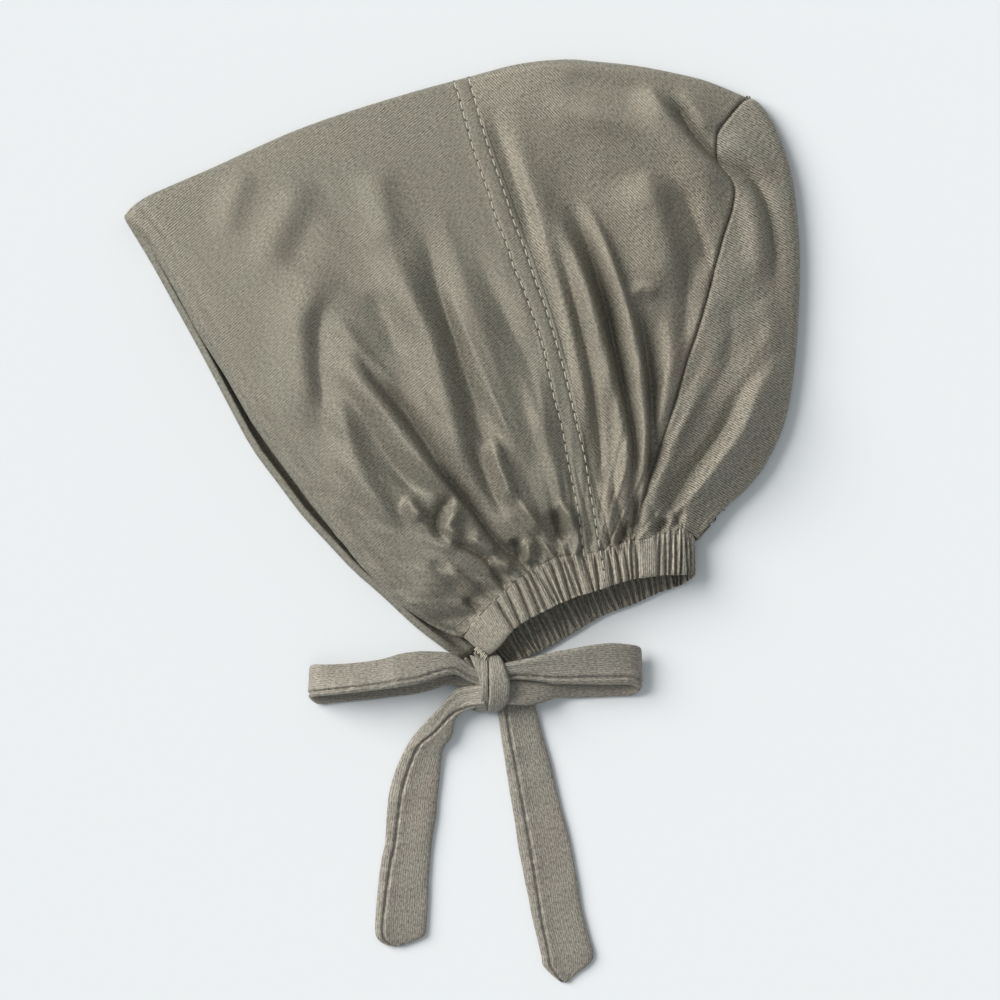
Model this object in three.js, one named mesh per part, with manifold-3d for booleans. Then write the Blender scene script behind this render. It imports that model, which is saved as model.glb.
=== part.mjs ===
import * as THREE from "three";
import { mergeVertices } from "three/addons/utils/BufferGeometryUtils.js";
import Module from "manifold-3d";

// Hijab underscarf cap of jersey, lying flat on its side with its bow tied.
// Millimetres, +Z up. +X runs from the face edge to the back of the head, +Y to the crown.
// Plan places are shares of the cap: across 0 is the tip of the face edge, across 1 the back
// of the head, up 0 the front end of the neck casing and up 1 the crown.

// Cap, as it lies
const capDepth = 290;
const capHeight = 260;
const clothWall = 1.2;
const foldHeight = 7;
const domeRise = 18;
const neckRise = 16;
const foldRelief = 4.2;
const foldSpread = 5.2;
const seamGap = 0.34;

// How far the dome takes to rise from each edge, as shares of the cap's depth and height
const domeTopReach = 0.16;
const domeBackReach = 0.14;
const domeFaceReach = 0.3;
const domeAtFace = 0.38;
const neckReach = 0.2;
const calmReach = 0.09;

// Folds fade at both ends, from this share of their height and this steeply
const foldEndShare = 0.2;
const foldEndSlope = 4;

// Neck casing with its hidden elastic
const casingDepth = 15;
const casingThick = 2.6;
const gatherPitch = 4.1;
const gatherDepth = 1.3;
const pleatPitch = 8.4;
const pleatRelief = 2.2;
const pleatReach = 30;
const casingDepthShares = [0, 0.35, 0.7, 1];

// Stretches of the casing that stay ungathered, in rows of its table below
const plainEndRows = 0.4;
const plainEndFade = 0.9;
const plainSeamRows = 0.35;

// Ties, each a sewn tube pressed flat, and their bow
const tieWidth = 20;
const tieThick = 2.4;
const tieGap = 0.45;
const knotGap = 0.8;
const knotWidth = 12.6;
const knotLength = 20;
const knotHeight = 13;
const leftTailLength = 118;
const rightTailLength = 129;
const leftLoopLength = 79;
const rightLoopLength = 64;

// Sections of ties and knot: eight sides, flatter with a lower power
const sectionSides = 8;
const tieFlatness = 0.35;
const knotFlatness = 0.8;
const thickFlatness = 1.6;

// Outline of the folded cloth, from the tip of the face edge over the crown
const topFrontRows = [
  { across: 0, up: 0.742 },
  { across: 0.037, up: 0.775 },
  { across: 0.134, up: 0.823 },
  { across: 0.285, up: 0.896 },
  { across: 0.408, up: 0.94 },
  { across: 0.513, up: 0.972 },
];
const crownRows = [
  { across: 0.513, up: 0.972 },
  { across: 0.574, up: 0.992 },
  { across: 0.648, up: 1 },
  { across: 0.76, up: 0.99 },
  { across: 0.841, up: 0.969 },
  { across: 0.923, up: 0.936 },
];
const backRows = [
  { across: 0.923, up: 0.936 },
  { across: 0.938, up: 0.929 },
  { across: 0.957, up: 0.902 },
  { across: 0.976, up: 0.855 },
  { across: 0.99, up: 0.798 },
  { across: 1, up: 0.661 },
  { across: 0.996, up: 0.521 },
  { across: 0.982, up: 0.435 },
  { across: 0.953, up: 0.345 },
  { across: 0.912, up: 0.288 },
  { across: 0.866, up: 0.24 },
];

// Face edge of the upper and of the lower layer, down to the front end of the casing
const faceUpperRows = [
  { across: 0, up: 0.742 },
  { across: 0.039, up: 0.688 },
  { across: 0.077, up: 0.617 },
  { across: 0.153, up: 0.473 },
  { across: 0.228, up: 0.342 },
  { across: 0.304, up: 0.23 },
  { across: 0.38, up: 0.132 },
];
const faceLowerRows = [
  { across: 0, up: 0.742 },
  { across: 0.037, up: 0.671 },
  { across: 0.077, up: 0.595 },
  { across: 0.153, up: 0.436 },
  { across: 0.228, up: 0.301 },
  { across: 0.304, up: 0.2 },
  { across: 0.38, up: 0.119 },
];

// Seams from the outline down to the casing: twin-stitched in front, plain behind
const frontSeamUpperRows = [
  { across: 0.513, up: 0.972 },
  { across: 0.531, up: 0.901 },
  { across: 0.573, up: 0.769 },
  { across: 0.614, up: 0.641 },
  { across: 0.647, up: 0.527 },
  { across: 0.671, up: 0.421 },
  { across: 0.688, up: 0.324 },
];
const frontSeamLowerRows = [
  { across: 0.513, up: 0.972 },
  { across: 0.556, up: 0.769 },
  { across: 0.631, up: 0.529 },
];
const backSeamUpperRows = [
  { across: 0.923, up: 0.936 },
  { across: 0.895, up: 0.902 },
  { across: 0.877, up: 0.871 },
  { across: 0.878, up: 0.83 },
  { across: 0.902, up: 0.792 },
  { across: 0.884, up: 0.701 },
  { across: 0.847, up: 0.549 },
  { across: 0.816, up: 0.443 },
  { across: 0.786, up: 0.354 },
  { across: 0.766, up: 0.269 },
];
const backSeamLowerRows = [
  { across: 0.923, up: 0.936 },
  { across: 0.895, up: 0.802 },
  { across: 0.838, up: 0.521 },
];

// Casing stations from its upper front end round the nape to its lower front end.
// lean is the heading in degrees from the gathers to the free edge, depth a share of
// casingDepth, and rise the outer face's height as a share of neckRise.
const casingRows = [
  { across: 0.497, up: 0.033, lean: -42, depth: 0.81, rise: 0.5 },
  { across: 0.525, up: 0.079, lean: -59, depth: 1, rise: 0.66 },
  { across: 0.556, up: 0.114, lean: -62, depth: 0.97, rise: 0.84 },
  { across: 0.593, up: 0.149, lean: -63, depth: 1.15, rise: 0.96 },
  { across: 0.638, up: 0.175, lean: -69, depth: 1.22, rise: 1 },
  { across: 0.69, up: 0.185, lean: -79, depth: 1.05, rise: 1 },
  { across: 0.737, up: 0.198, lean: -85, depth: 1.04, rise: 0.98 },
  { across: 0.786, up: 0.21, lean: -90, depth: 1.09, rise: 0.92 },
  { across: 0.825, up: 0.223, lean: -90, depth: 1.26, rise: 0.8 },
  { across: 0.846, up: 0.208, lean: -88, depth: 0.98, rise: 0.41 },
  { across: 0.825, up: 0.192, lean: -85, depth: 0.98, rise: 0 },
  { across: 0.786, up: 0.179, lean: -82, depth: 1.01, rise: 0 },
  { across: 0.737, up: 0.157, lean: -74, depth: 1.02, rise: 0 },
  { across: 0.69, up: 0.134, lean: -67, depth: 0.96, rise: 0 },
  { across: 0.638, up: 0.101, lean: -63, depth: 0.96, rise: 0 },
  { across: 0.586, up: 0.071, lean: -59, depth: 1, rise: 0 },
  { across: 0.542, up: 0.038, lean: -55, depth: 0.52, rise: 0 },
  { across: 0.501, up: 0.008, lean: -38, depth: 0.51, rise: 0 },
];

// Rows of the table above at which the panels end
const casingEnd = {
  faceUpper: 0,
  frontSeamUpper: 5.45,
  backSeamUpper: 6.35,
  nape: 9,
  backSeamLower: 11.55,
  frontSeamLower: 12.45,
  faceLower: 17,
};

// Folds of the upper layer: rise is a share of foldRelief, below 0 in a valley, spread a
// share of foldSpread, and path the crest as places across and up.
const foldRows = [
  { rise: 0.3, spread: 1, path: [[0.182, 0.817], [0.171, 0.769], [0.16, 0.722]] },
  { rise: 0.35, spread: 1.2, path: [[0.26, 0.783], [0.242, 0.716], [0.226, 0.646]] },
  { rise: 0.8, spread: 1.3, path: [[0.294, 0.655], [0.264, 0.544], [0.26, 0.458], [0.276, 0.372]] },
  { rise: -0.6, spread: 1, path: [[0.298, 0.585], [0.286, 0.501], [0.294, 0.388]] },
  { rise: 0.5, spread: 1, path: [[0.313, 0.577], [0.368, 0.509], [0.429, 0.423]] },
  { rise: -0.8, spread: 0.8, path: [[0.322, 0.544], [0.375, 0.483], [0.444, 0.388], [0.552, 0.226]] },
  { rise: 0.7, spread: 1, path: [[0.306, 0.517], [0.352, 0.45], [0.407, 0.372], [0.482, 0.278]] },
  { rise: -0.6, spread: 1, path: [[0.313, 0.431], [0.352, 0.372], [0.398, 0.304], [0.444, 0.226]] },
  { rise: 0.7, spread: 1.3, path: [[0.31, 0.415], [0.352, 0.329], [0.398, 0.253], [0.537, 0.107]] },
  { rise: 0.5, spread: 1.3, path: [[0.344, 0.817], [0.383, 0.757], [0.421, 0.671]] },
  { rise: 1, spread: 1.5, path: [[0.383, 0.689], [0.421, 0.585], [0.453, 0.45], [0.545, 0.243]] },
  { rise: -0.9, spread: 1.5, path: [[0.444, 0.706], [0.475, 0.585], [0.506, 0.466], [0.552, 0.278]] },
  { rise: 0.6, spread: 1.3, path: [[0.467, 0.679], [0.521, 0.603], [0.552, 0.517]] },
  { rise: -0.6, spread: 1.1, path: [[0.475, 0.636], [0.521, 0.517], [0.552, 0.44], [0.613, 0.304]] },
  { rise: 0.9, spread: 1, path: [[0.545, 0.347], [0.559, 0.269], [0.574, 0.235]] },
  { rise: 0.6, spread: 1.1, path: [[0.613, 0.415], [0.629, 0.329], [0.659, 0.253]] },
  { rise: -1, spread: 0.9, path: [[0.623, 0.273], [0.644, 0.235], [0.654, 0.215]] },
  { rise: 0.9, spread: 1.3, path: [[0.552, 0.894], [0.591, 0.843], [0.629, 0.585], [0.682, 0.329]] },
  { rise: -0.7, spread: 1, path: [[0.613, 0.817], [0.651, 0.585], [0.682, 0.458], [0.705, 0.269]] },
  { rise: 0.6, spread: 0.9, path: [[0.644, 0.74], [0.675, 0.62], [0.697, 0.517], [0.728, 0.304]] },
  { rise: -1, spread: 1.1, path: [[0.651, 0.757], [0.697, 0.636], [0.736, 0.517], [0.751, 0.278]] },
  { rise: 0.7, spread: 1, path: [[0.682, 0.74], [0.736, 0.62], [0.767, 0.415], [0.763, 0.286]] },
  { rise: 0.8, spread: 1.5, path: [[0.613, 0.937], [0.736, 0.868], [0.806, 0.817], [0.866, 0.698]] },
  { rise: 0.5, spread: 1.3, path: [[0.751, 0.808], [0.743, 0.76], [0.736, 0.714]] },
  { rise: 0.5, spread: 1.2, path: [[0.782, 0.722], [0.791, 0.666], [0.794, 0.603]] },
  { rise: -0.8, spread: 1.2, path: [[0.76, 0.603], [0.767, 0.501], [0.782, 0.372]] },
  { rise: 0.7, spread: 1.1, path: [[0.806, 0.585], [0.806, 0.501], [0.789, 0.372]] },
  { rise: -0.6, spread: 1.3, path: [[0.844, 0.74], [0.841, 0.666], [0.835, 0.585]] },
  { rise: 0.5, spread: 1.2, path: [[0.767, 0.937], [0.813, 0.868], [0.881, 0.792]] },
  { rise: -0.5, spread: 1.1, path: [[0.813, 0.937], [0.835, 0.876], [0.881, 0.825], [0.951, 0.782]] },
  { rise: 0.5, spread: 1.2, path: [[0.898, 0.8], [0.92, 0.757], [0.929, 0.628], [0.944, 0.552]] },
  { rise: 0.7, spread: 1.1, path: [[0.859, 0.501], [0.835, 0.415], [0.806, 0.329], [0.774, 0.243]] },
  { rise: -0.9, spread: 1.2, path: [[0.905, 0.38], [0.852, 0.321], [0.806, 0.253], [0.782, 0.218]] },
  { rise: 0.9, spread: 1.4, path: [[0.951, 0.501], [0.929, 0.415], [0.89, 0.337], [0.806, 0.235]] },
];

// Knot of the bow, as slices across it: side and width are shares of knotLength, lift and
// thick shares of knotHeight.
const knotPlace = { across: 0.55, up: -0.034 };
const knotRows = [
  { out: -0.54, side: -0.02, width: 0.62, lift: 0.2, thick: 0.46 },
  { out: -0.42, side: -0.04, width: 0.88, lift: 0.06, thick: 0.78 },
  { out: -0.1, side: 0, width: 1, lift: 0.02, thick: 0.94 },
  { out: 0.2, side: 0.02, width: 0.98, lift: 0.02, thick: 0.98 },
  { out: 0.48, side: 0, width: 0.78, lift: 0.06, thick: 0.84 },
  { out: 0.64, side: -0.03, width: 0.5, lift: 0.2, thick: 0.5 },
];

// Ties of the bow: out and side are shares of the tie's reach along its heading in degrees,
// width a share of tieWidth, lift the underside's height as a share of knotHeight.
const ties = [
  {
    name: "left_tail",
    reach: leftTailLength,
    heading: -110,
    rows: [
      { out: 0.01, side: 0, width: 0.45, lift: 0.6 },
      { out: 0.05, side: -0.043, width: 0.48, lift: 0.6 },
      { out: 0.1, side: -0.092, width: 0.52, lift: 0.5 },
      { out: 0.167, side: -0.129, width: 0.66, lift: 0.26 },
      { out: 0.253, side: -0.152, width: 0.84, lift: 0.08 },
      { out: 0.36, side: -0.159, width: 0.88, lift: 0 },
      { out: 0.535, side: -0.127, width: 1, lift: 0 },
      { out: 0.676, side: -0.091, width: 1, lift: 0 },
      { out: 0.853, side: -0.042, width: 1.05, lift: 0 },
      { out: 0.98, side: -0.006, width: 1.03, lift: 0 },
      { out: 1, side: 0, width: 0.8, lift: 0 },
    ],
  },
  {
    name: "right_tail",
    reach: rightTailLength,
    heading: -78,
    shift: 5,
    rows: [
      { out: 0.04, side: 0.004, width: 0.8, lift: 0 },
      { out: 0.148, side: 0.01, width: 0.85, lift: 0 },
      { out: 0.261, side: 0.01, width: 0.92, lift: 0 },
      { out: 0.397, side: 0.012, width: 1.02, lift: 0 },
      { out: 0.567, side: 0.01, width: 1.1, lift: 0 },
      { out: 0.737, side: 0.011, width: 1.12, lift: 0 },
      { out: 0.89, side: 0.01, width: 1.07, lift: 0 },
      { out: 1, side: 0, width: 0.6, lift: 0 },
    ],
  },
  {
    name: "left_loop",
    reach: leftLoopLength,
    heading: 179,
    rows: [
      { out: 0.02, side: -0.02, width: 0.5, lift: 0.4 },
      { out: 0.104, side: -0.05, width: 0.48, lift: 0.36 },
      { out: 0.219, side: -0.094, width: 0.62, lift: 0.4 },
      { out: 0.382, side: -0.092, width: 0.72, lift: 0.42 },
      { out: 0.68, side: -0.049, width: 0.78, lift: 0.42 },
      { out: 0.95, side: 0, width: 0.82, lift: 0.42 },
      { out: 0.988, side: 0.006, width: 0.84, lift: 0.36 },
      { out: 1, side: 0.006, width: 0.84, lift: 0.21 },
      { out: 0.988, side: 0.006, width: 0.84, lift: 0.06 },
      { out: 0.95, side: 0.01, width: 0.84, lift: 0 },
      { out: 0.679, side: 0.002, width: 0.8, lift: 0 },
      { out: 0.419, side: -0.04, width: 0.7, lift: 0.02 },
      { out: 0.284, side: -0.05, width: 0.56, lift: 0.08 },
      { out: 0.12, side: 0.014, width: 0.44, lift: 0.18 },
      { out: 0.02, side: 0.02, width: 0.4, lift: 0.18 },
    ],
  },
  {
    name: "right_loop",
    reach: rightLoopLength,
    heading: 9,
    rows: [
      { out: 0.02, side: 0.05, width: 0.4, lift: 0.5 },
      { out: 0.15, side: 0.085, width: 0.42, lift: 0.5 },
      { out: 0.25, side: 0.085, width: 0.5, lift: 0.48 },
      { out: 0.414, side: 0.07, width: 0.67, lift: 0.44 },
      { out: 0.718, side: 0.064, width: 0.7, lift: 0.42 },
      { out: 0.93, side: 0.02, width: 0.76, lift: 0.42 },
      { out: 0.984, side: 0, width: 0.84, lift: 0.36 },
      { out: 1, side: -0.006, width: 0.86, lift: 0.21 },
      { out: 0.984, side: -0.012, width: 0.84, lift: 0.06 },
      { out: 0.92, side: -0.06, width: 0.7, lift: 0 },
      { out: 0.7, side: -0.108, width: 0.52, lift: 0 },
      { out: 0.5, side: -0.13, width: 0.4, lift: 0.02 },
      { out: 0.36, side: -0.128, width: 0.46, lift: 0.2 },
      { out: 0.22, side: -0.1, width: 0.54, lift: 0.28 },
      { out: 0.05, side: -0.06, width: 0.5, lift: 0.28 },
    ],
  },
];

// Short roots of the ties, from the casing's ends into the knot: across and up are places
// on the cap, width and lift as in the ties.
const tieRoots = [
  {
    name: "upper_tie_root",
    rows: [
      { across: 0.515, up: 0, width: 0.22, lift: 0.5 },
      { across: 0.522, up: -0.01, width: 0.22, lift: 0.64 },
      { across: 0.534, up: -0.024, width: 0.22, lift: 0.66 },
      { across: 0.546, up: -0.04, width: 0.22, lift: 0.66 },
    ],
  },
  {
    name: "lower_tie_root",
    rows: [
      { across: 0.522, up: -0.018, width: 0.22, lift: 0 },
      { across: 0.532, up: -0.026, width: 0.22, lift: 0 },
      { across: 0.545, up: -0.036, width: 0.22, lift: 0 },
    ],
  },
];

// Rows and columns of the cloth's grids
const foldSteps = 3;
const upperSteps = 13;
const lowerSteps = 3;
const frontColumns = 32;
const middleColumns = 24;
const gatherColumns = 3;
const outlineSamples = 72;
const foldSamples = 9;
const sectionsPerRow = 2;

// Grid rows lie close together round the fold, and the gusset's columns start beside it
const foldSide = 0.2;
const gussetStartSide = 0.1;
const foldBunching = 0.4;
const insetLimit = 0.2;
const normalStep = 0.006;
const samePlace = 1e-4;

const wasm = await Module();
wasm.setup();

// Small helpers of place and shape

const planPoint = (across, up) => new THREE.Vector2(across * capDepth, up * capHeight);

const smooth = (share) => {
  const held = THREE.MathUtils.clamp(share, 0, 1);
  return held * held * (3 - 2 * held);
};

const planCurve = (rows, lastPoint) => {
  const points = rows.map((row) => planPoint(row.across, row.up));
  if (lastPoint) points.push(lastPoint);
  return new THREE.SplineCurve(points);
};

const sampled = (curve, count) => curve.getPoints(count).map((point) => [point.x, point.y]);

// Distance from a plan place to a line of points, and how far along it the nearest one is
function nearest(line, x, y) {
  let best = Infinity;
  let along = 0;
  for (let i = 0; i < line.length - 1; i += 1) {
    const [ax, ay] = line[i];
    const dx = line[i + 1][0] - ax;
    const dy = line[i + 1][1] - ay;
    const onward = ((x - ax) * dx + (y - ay) * dy) / (dx * dx + dy * dy || 1);
    const share = THREE.MathUtils.clamp(onward, 0, 1);
    const distance = Math.hypot(x - ax - share * dx, y - ay - share * dy);
    if (distance < best) {
      best = distance;
      along = (i + share) / (line.length - 1);
    }
  }
  return { distance: best, along };
}

// Casing lines: the gathers where the panels end, and the free edge below them

const casingLast = casingRows.length - 1;
const gatherLine = new THREE.CatmullRomCurve3(
  casingRows.map(
    (row) => new THREE.Vector3(row.across * capDepth, row.up * capHeight, row.rise * neckRise),
  ),
  false,
  "centripetal",
);
const freeLine = new THREE.CatmullRomCurve3(
  casingRows.map((row) => {
    const lean = THREE.MathUtils.degToRad(row.lean);
    const reach = row.depth * casingDepth;
    return new THREE.Vector3(
      row.across * capDepth + reach * Math.cos(lean),
      row.up * capHeight + reach * Math.sin(lean),
      row.rise * neckRise,
    );
  }),
  false,
  "centripetal",
);
const gatherPlace = (row) => {
  const point = gatherLine.getPoint(row / casingLast);
  return new THREE.Vector2(point.x, point.y);
};
const gatherStretch = (fromRow, toRow) => ({
  getPoint: (share) => gatherPlace(fromRow + (toRow - fromRow) * share),
});

// Plan lines of the cap

const topFront = planCurve(topFrontRows);
const crown = planCurve(crownRows);
const backFold = planCurve(backRows, gatherPlace(casingEnd.nape));
const faceUpper = planCurve(faceUpperRows, gatherPlace(casingEnd.faceUpper));
const faceLower = planCurve(faceLowerRows, gatherPlace(casingEnd.faceLower));
const frontSeamUpper = planCurve(frontSeamUpperRows, gatherPlace(casingEnd.frontSeamUpper));
const frontSeamLower = planCurve(frontSeamLowerRows, gatherPlace(casingEnd.frontSeamLower));
const backSeamUpper = planCurve(backSeamUpperRows, gatherPlace(casingEnd.backSeamUpper));
const backSeamLower = planCurve(backSeamLowerRows, gatherPlace(casingEnd.backSeamLower));

const topSamples = sampled(topFront, outlineSamples / 2).concat(
  sampled(crown, outlineSamples / 2).slice(1),
);
const backSamples = sampled(backFold, outlineSamples);
const faceSamples = sampled(faceUpper, outlineSamples / 2);
const gatherSamples = Array.from({ length: outlineSamples + 1 }, (_, i) => {
  const point = gatherPlace((casingEnd.nape * i) / outlineSamples);
  return [point.x, point.y];
});
const gatherLength = gatherSamples.reduce(
  (sum, point, i) =>
    i ? sum + Math.hypot(point[0] - gatherSamples[i - 1][0], point[1] - gatherSamples[i - 1][1]) : 0,
  0,
);
const folds = foldRows.map((row) => ({
  rise: row.rise * foldRelief,
  spread: row.spread * foldSpread,
  line: sampled(
    new THREE.SplineCurve(row.path.map(([across, up]) => planPoint(across, up))),
    foldSamples,
  ),
}));

// Height of the cloth's outer face

const foldRound = foldHeight / 2;
const roundedEdge = (distance) => {
  const share = Math.min(distance / foldRound, 1);
  return Math.sqrt(1 - (1 - share) ** 2);
};

function reliefHeight(x, y) {
  let height = 0;
  for (const fold of folds) {
    const { distance, along } = nearest(fold.line, x, y);
    const taper = smooth(Math.min(along, 1 - along) * foldEndSlope + foldEndShare);
    height += fold.rise * taper * Math.exp(-((distance / fold.spread) ** 2));
  }
  return height;
}

function upperHeight(x, y) {
  const toTop = nearest(topSamples, x, y).distance;
  const toBack = nearest(backSamples, x, y).distance;
  const toFace = nearest(faceSamples, x, y).distance;
  const neck = nearest(gatherSamples, x, y);
  const toEdge = Math.min(toTop, toBack);
  const domeShare =
    (1 - Math.exp(-toTop / (domeTopReach * capHeight))) *
    (1 - Math.exp(-toBack / (domeBackReach * capDepth))) *
    smooth(domeAtFace + toFace / (domeFaceReach * capDepth));
  const body = foldRound * (1 + roundedEdge(toEdge)) + domeRise * domeShare;
  const neckHeight = gatherLine.getPoint((neck.along * casingEnd.nape) / casingLast).z;
  const neckShare = 1 - smooth(neck.distance / (neckReach * capHeight));
  const flat = THREE.MathUtils.lerp(body, neckHeight, neckShare);
  const away = smooth(toEdge / (calmReach * capHeight)) * smooth(neck.distance / foldHeight);
  const pleat = Math.cos((2 * Math.PI * neck.along * gatherLength) / pleatPitch) - 1;
  const pleatShare = Math.exp(-neck.distance / pleatReach) * smooth(toEdge / foldHeight);
  return flat + reliefHeight(x, y) * away + (pleat * pleatShare * pleatRelief) / 2;
}

function lowerHeight(x, y) {
  const toEdge = Math.min(nearest(topSamples, x, y).distance, nearest(backSamples, x, y).distance);
  return foldRound * (1 - roundedEdge(toEdge));
}

// A panel is one cloth folded over the outline: side runs from 1 at the upper layer's far
// edge through 0 at the fold to -1 at the lower layer's far edge.

const fromFold = (side) => {
  const share = Math.abs(side);
  return ((1 + foldBunching) * share * share) / (share + foldBunching);
};

function patchPoint(lines, u, v) {
  const point = new THREE.Vector2();
  const corners = [lines.fold, lines.far].flatMap((line) => [line.getPoint(0), line.getPoint(1)]);
  point.addScaledVector(lines.fold.getPoint(u), 1 - v);
  point.addScaledVector(lines.far.getPoint(u), v);
  point.addScaledVector(lines.start.getPoint(v), 1 - u);
  point.addScaledVector(lines.end.getPoint(v), u);
  point.addScaledVector(corners[0], -(1 - u) * (1 - v));
  point.addScaledVector(corners[1], -u * (1 - v));
  point.addScaledVector(corners[2], -(1 - u) * v);
  point.addScaledVector(corners[3], -u * v);
  return point;
}

function panelPoint(panel, u, side) {
  const lines = side < 0 ? panel.lower : panel.upper;
  const share = THREE.MathUtils.clamp(fromFold(side), 0, 1);
  const { x, y } = patchPoint(lines, THREE.MathUtils.clamp(u, 0, 1), share);
  return new THREE.Vector3(x, y, side < 0 ? lowerHeight(x, y) : upperHeight(x, y));
}

function panelNormal(panel, u, side) {
  const step = normalStep;
  const along = panelPoint(panel, u + step, side).sub(panelPoint(panel, u - step, side));
  const across = panelPoint(panel, u, side - step).sub(panelPoint(panel, u, side + step));
  return along.cross(across).normalize();
}

const sideRows = [];
for (let i = 0; i <= upperSteps; i += 1) {
  sideRows.push(1 - ((1 - foldSide) * i) / upperSteps);
}
for (let i = 1; i < foldSteps * 2; i += 1) {
  sideRows.push(foldSide * (1 - i / foldSteps));
}
for (let i = 0; i <= lowerSteps; i += 1) {
  sideRows.push(-foldSide - ((1 - foldSide) * i) / lowerSteps);
}

// Closed shell of two grids of points, the outer face and the inner one
function shellGeometry(outer, inner) {
  const columns = outer.length;
  const rows = outer[0].length;
  const positions = [outer, inner].flat(2).flatMap((point) => point.toArray());
  const at = (layer, i, j) => (layer * columns + i) * rows + j;
  const index = [];
  const quad = (a, b, c, d) => index.push(a, b, c, a, c, d);
  for (let i = 0; i < columns - 1; i += 1) {
    for (let j = 0; j < rows - 1; j += 1) {
      quad(at(0, i, j), at(0, i + 1, j), at(0, i + 1, j + 1), at(0, i, j + 1));
      quad(at(1, i, j), at(1, i, j + 1), at(1, i + 1, j + 1), at(1, i + 1, j));
    }
    quad(at(0, i, 0), at(1, i, 0), at(1, i + 1, 0), at(0, i + 1, 0));
    quad(at(0, i, rows - 1), at(0, i + 1, rows - 1), at(1, i + 1, rows - 1), at(1, i, rows - 1));
  }
  const end = columns - 1;
  for (let j = 0; j < rows - 1; j += 1) {
    quad(at(0, 0, j), at(0, 0, j + 1), at(1, 0, j + 1), at(1, 0, j));
    quad(at(0, end, j), at(1, end, j), at(1, end, j + 1), at(0, end, j + 1));
  }
  const geometry = new THREE.BufferGeometry();
  geometry.setAttribute("position", new THREE.Float32BufferAttribute(positions, 3));
  geometry.setIndex(index);
  return geometry;
}

// Closed tube through rings of points, each ring turning the same way round
function ringGeometry(rings) {
  const count = rings[0].length;
  const positions = rings.flat().flatMap((point) => point.toArray());
  const at = (i, k) => i * count + (k % count);
  const index = [];
  for (let i = 0; i < rings.length - 1; i += 1) {
    for (let k = 0; k < count; k += 1) {
      index.push(at(i, k), at(i, k + 1), at(i + 1, k + 1));
      index.push(at(i, k), at(i + 1, k + 1), at(i + 1, k));
    }
  }
  const last = rings.length - 1;
  for (let k = 1; k < count - 1; k += 1) {
    index.push(at(0, 0), at(0, k + 1), at(0, k));
    index.push(at(last, 0), at(last, k), at(last, k + 1));
  }
  const geometry = new THREE.BufferGeometry();
  geometry.setAttribute("position", new THREE.Float32BufferAttribute(positions, 3));
  geometry.setIndex(index);
  return geometry;
}

// Cloth panels

function panelGeometry(panel, columnShares) {
  const outer = [];
  const inner = [];
  for (const columnShare of columnShares) {
    const outerColumn = [];
    const innerColumn = [];
    for (const rowSide of sideRows) {
      const lines = rowSide < 0 ? panel.lower : panel.upper;
      const v = THREE.MathUtils.clamp(fromFold(rowSide), 0, 1);
      const width = lines.start.getPoint(v).distanceTo(lines.end.getPoint(v));
      const depth = lines.fold.getPoint(columnShare).distanceTo(lines.far.getPoint(columnShare));
      const inset = Math.min(seamGap / 2 / width, insetLimit);
      const u = THREE.MathUtils.clamp(columnShare, inset, 1 - inset);
      const side = Math.sign(rowSide) * Math.min(Math.abs(rowSide), 1 - seamGap / 2 / depth);
      const point = panelPoint(panel, u, side);
      outerColumn.push(point);
      innerColumn.push(point.clone().addScaledVector(panelNormal(panel, u, side), -clothWall));
    }
    outer.push(outerColumn);
    inner.push(innerColumn);
  }
  return shellGeometry(outer, inner);
}

const evenShares = (count) => Array.from({ length: count + 1 }, (_, i) => i / count);

const frontPanel = {
  upper: {
    fold: topFront,
    far: gatherStretch(casingEnd.faceUpper, casingEnd.frontSeamUpper),
    start: faceUpper,
    end: frontSeamUpper,
  },
  lower: {
    fold: topFront,
    far: gatherStretch(casingEnd.faceLower, casingEnd.frontSeamLower),
    start: faceLower,
    end: frontSeamLower,
  },
};
const middlePanel = {
  upper: {
    fold: crown,
    far: gatherStretch(casingEnd.frontSeamUpper, casingEnd.backSeamUpper),
    start: frontSeamUpper,
    end: backSeamUpper,
  },
  lower: {
    fold: crown,
    far: gatherStretch(casingEnd.frontSeamLower, casingEnd.backSeamLower),
    start: frontSeamLower,
    end: backSeamLower,
  },
};
const crownTip = { getPoint: () => backFold.getPoint(0) };
const backPanel = {
  upper: {
    fold: backFold,
    far: backSeamUpper,
    start: crownTip,
    end: gatherStretch(casingEnd.nape, casingEnd.backSeamUpper),
  },
  lower: {
    fold: backFold,
    far: backSeamLower,
    start: crownTip,
    end: gatherStretch(casingEnd.nape, casingEnd.backSeamLower),
  },
};

// The gusset's columns end on the same places of the back seam as the middle panel's rows
const seamShares = sideRows.filter((side) => side > gussetStartSide).map(fromFold).reverse();

// Casing: a band of constant thickness whose outer face is drawn into gathers

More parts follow.
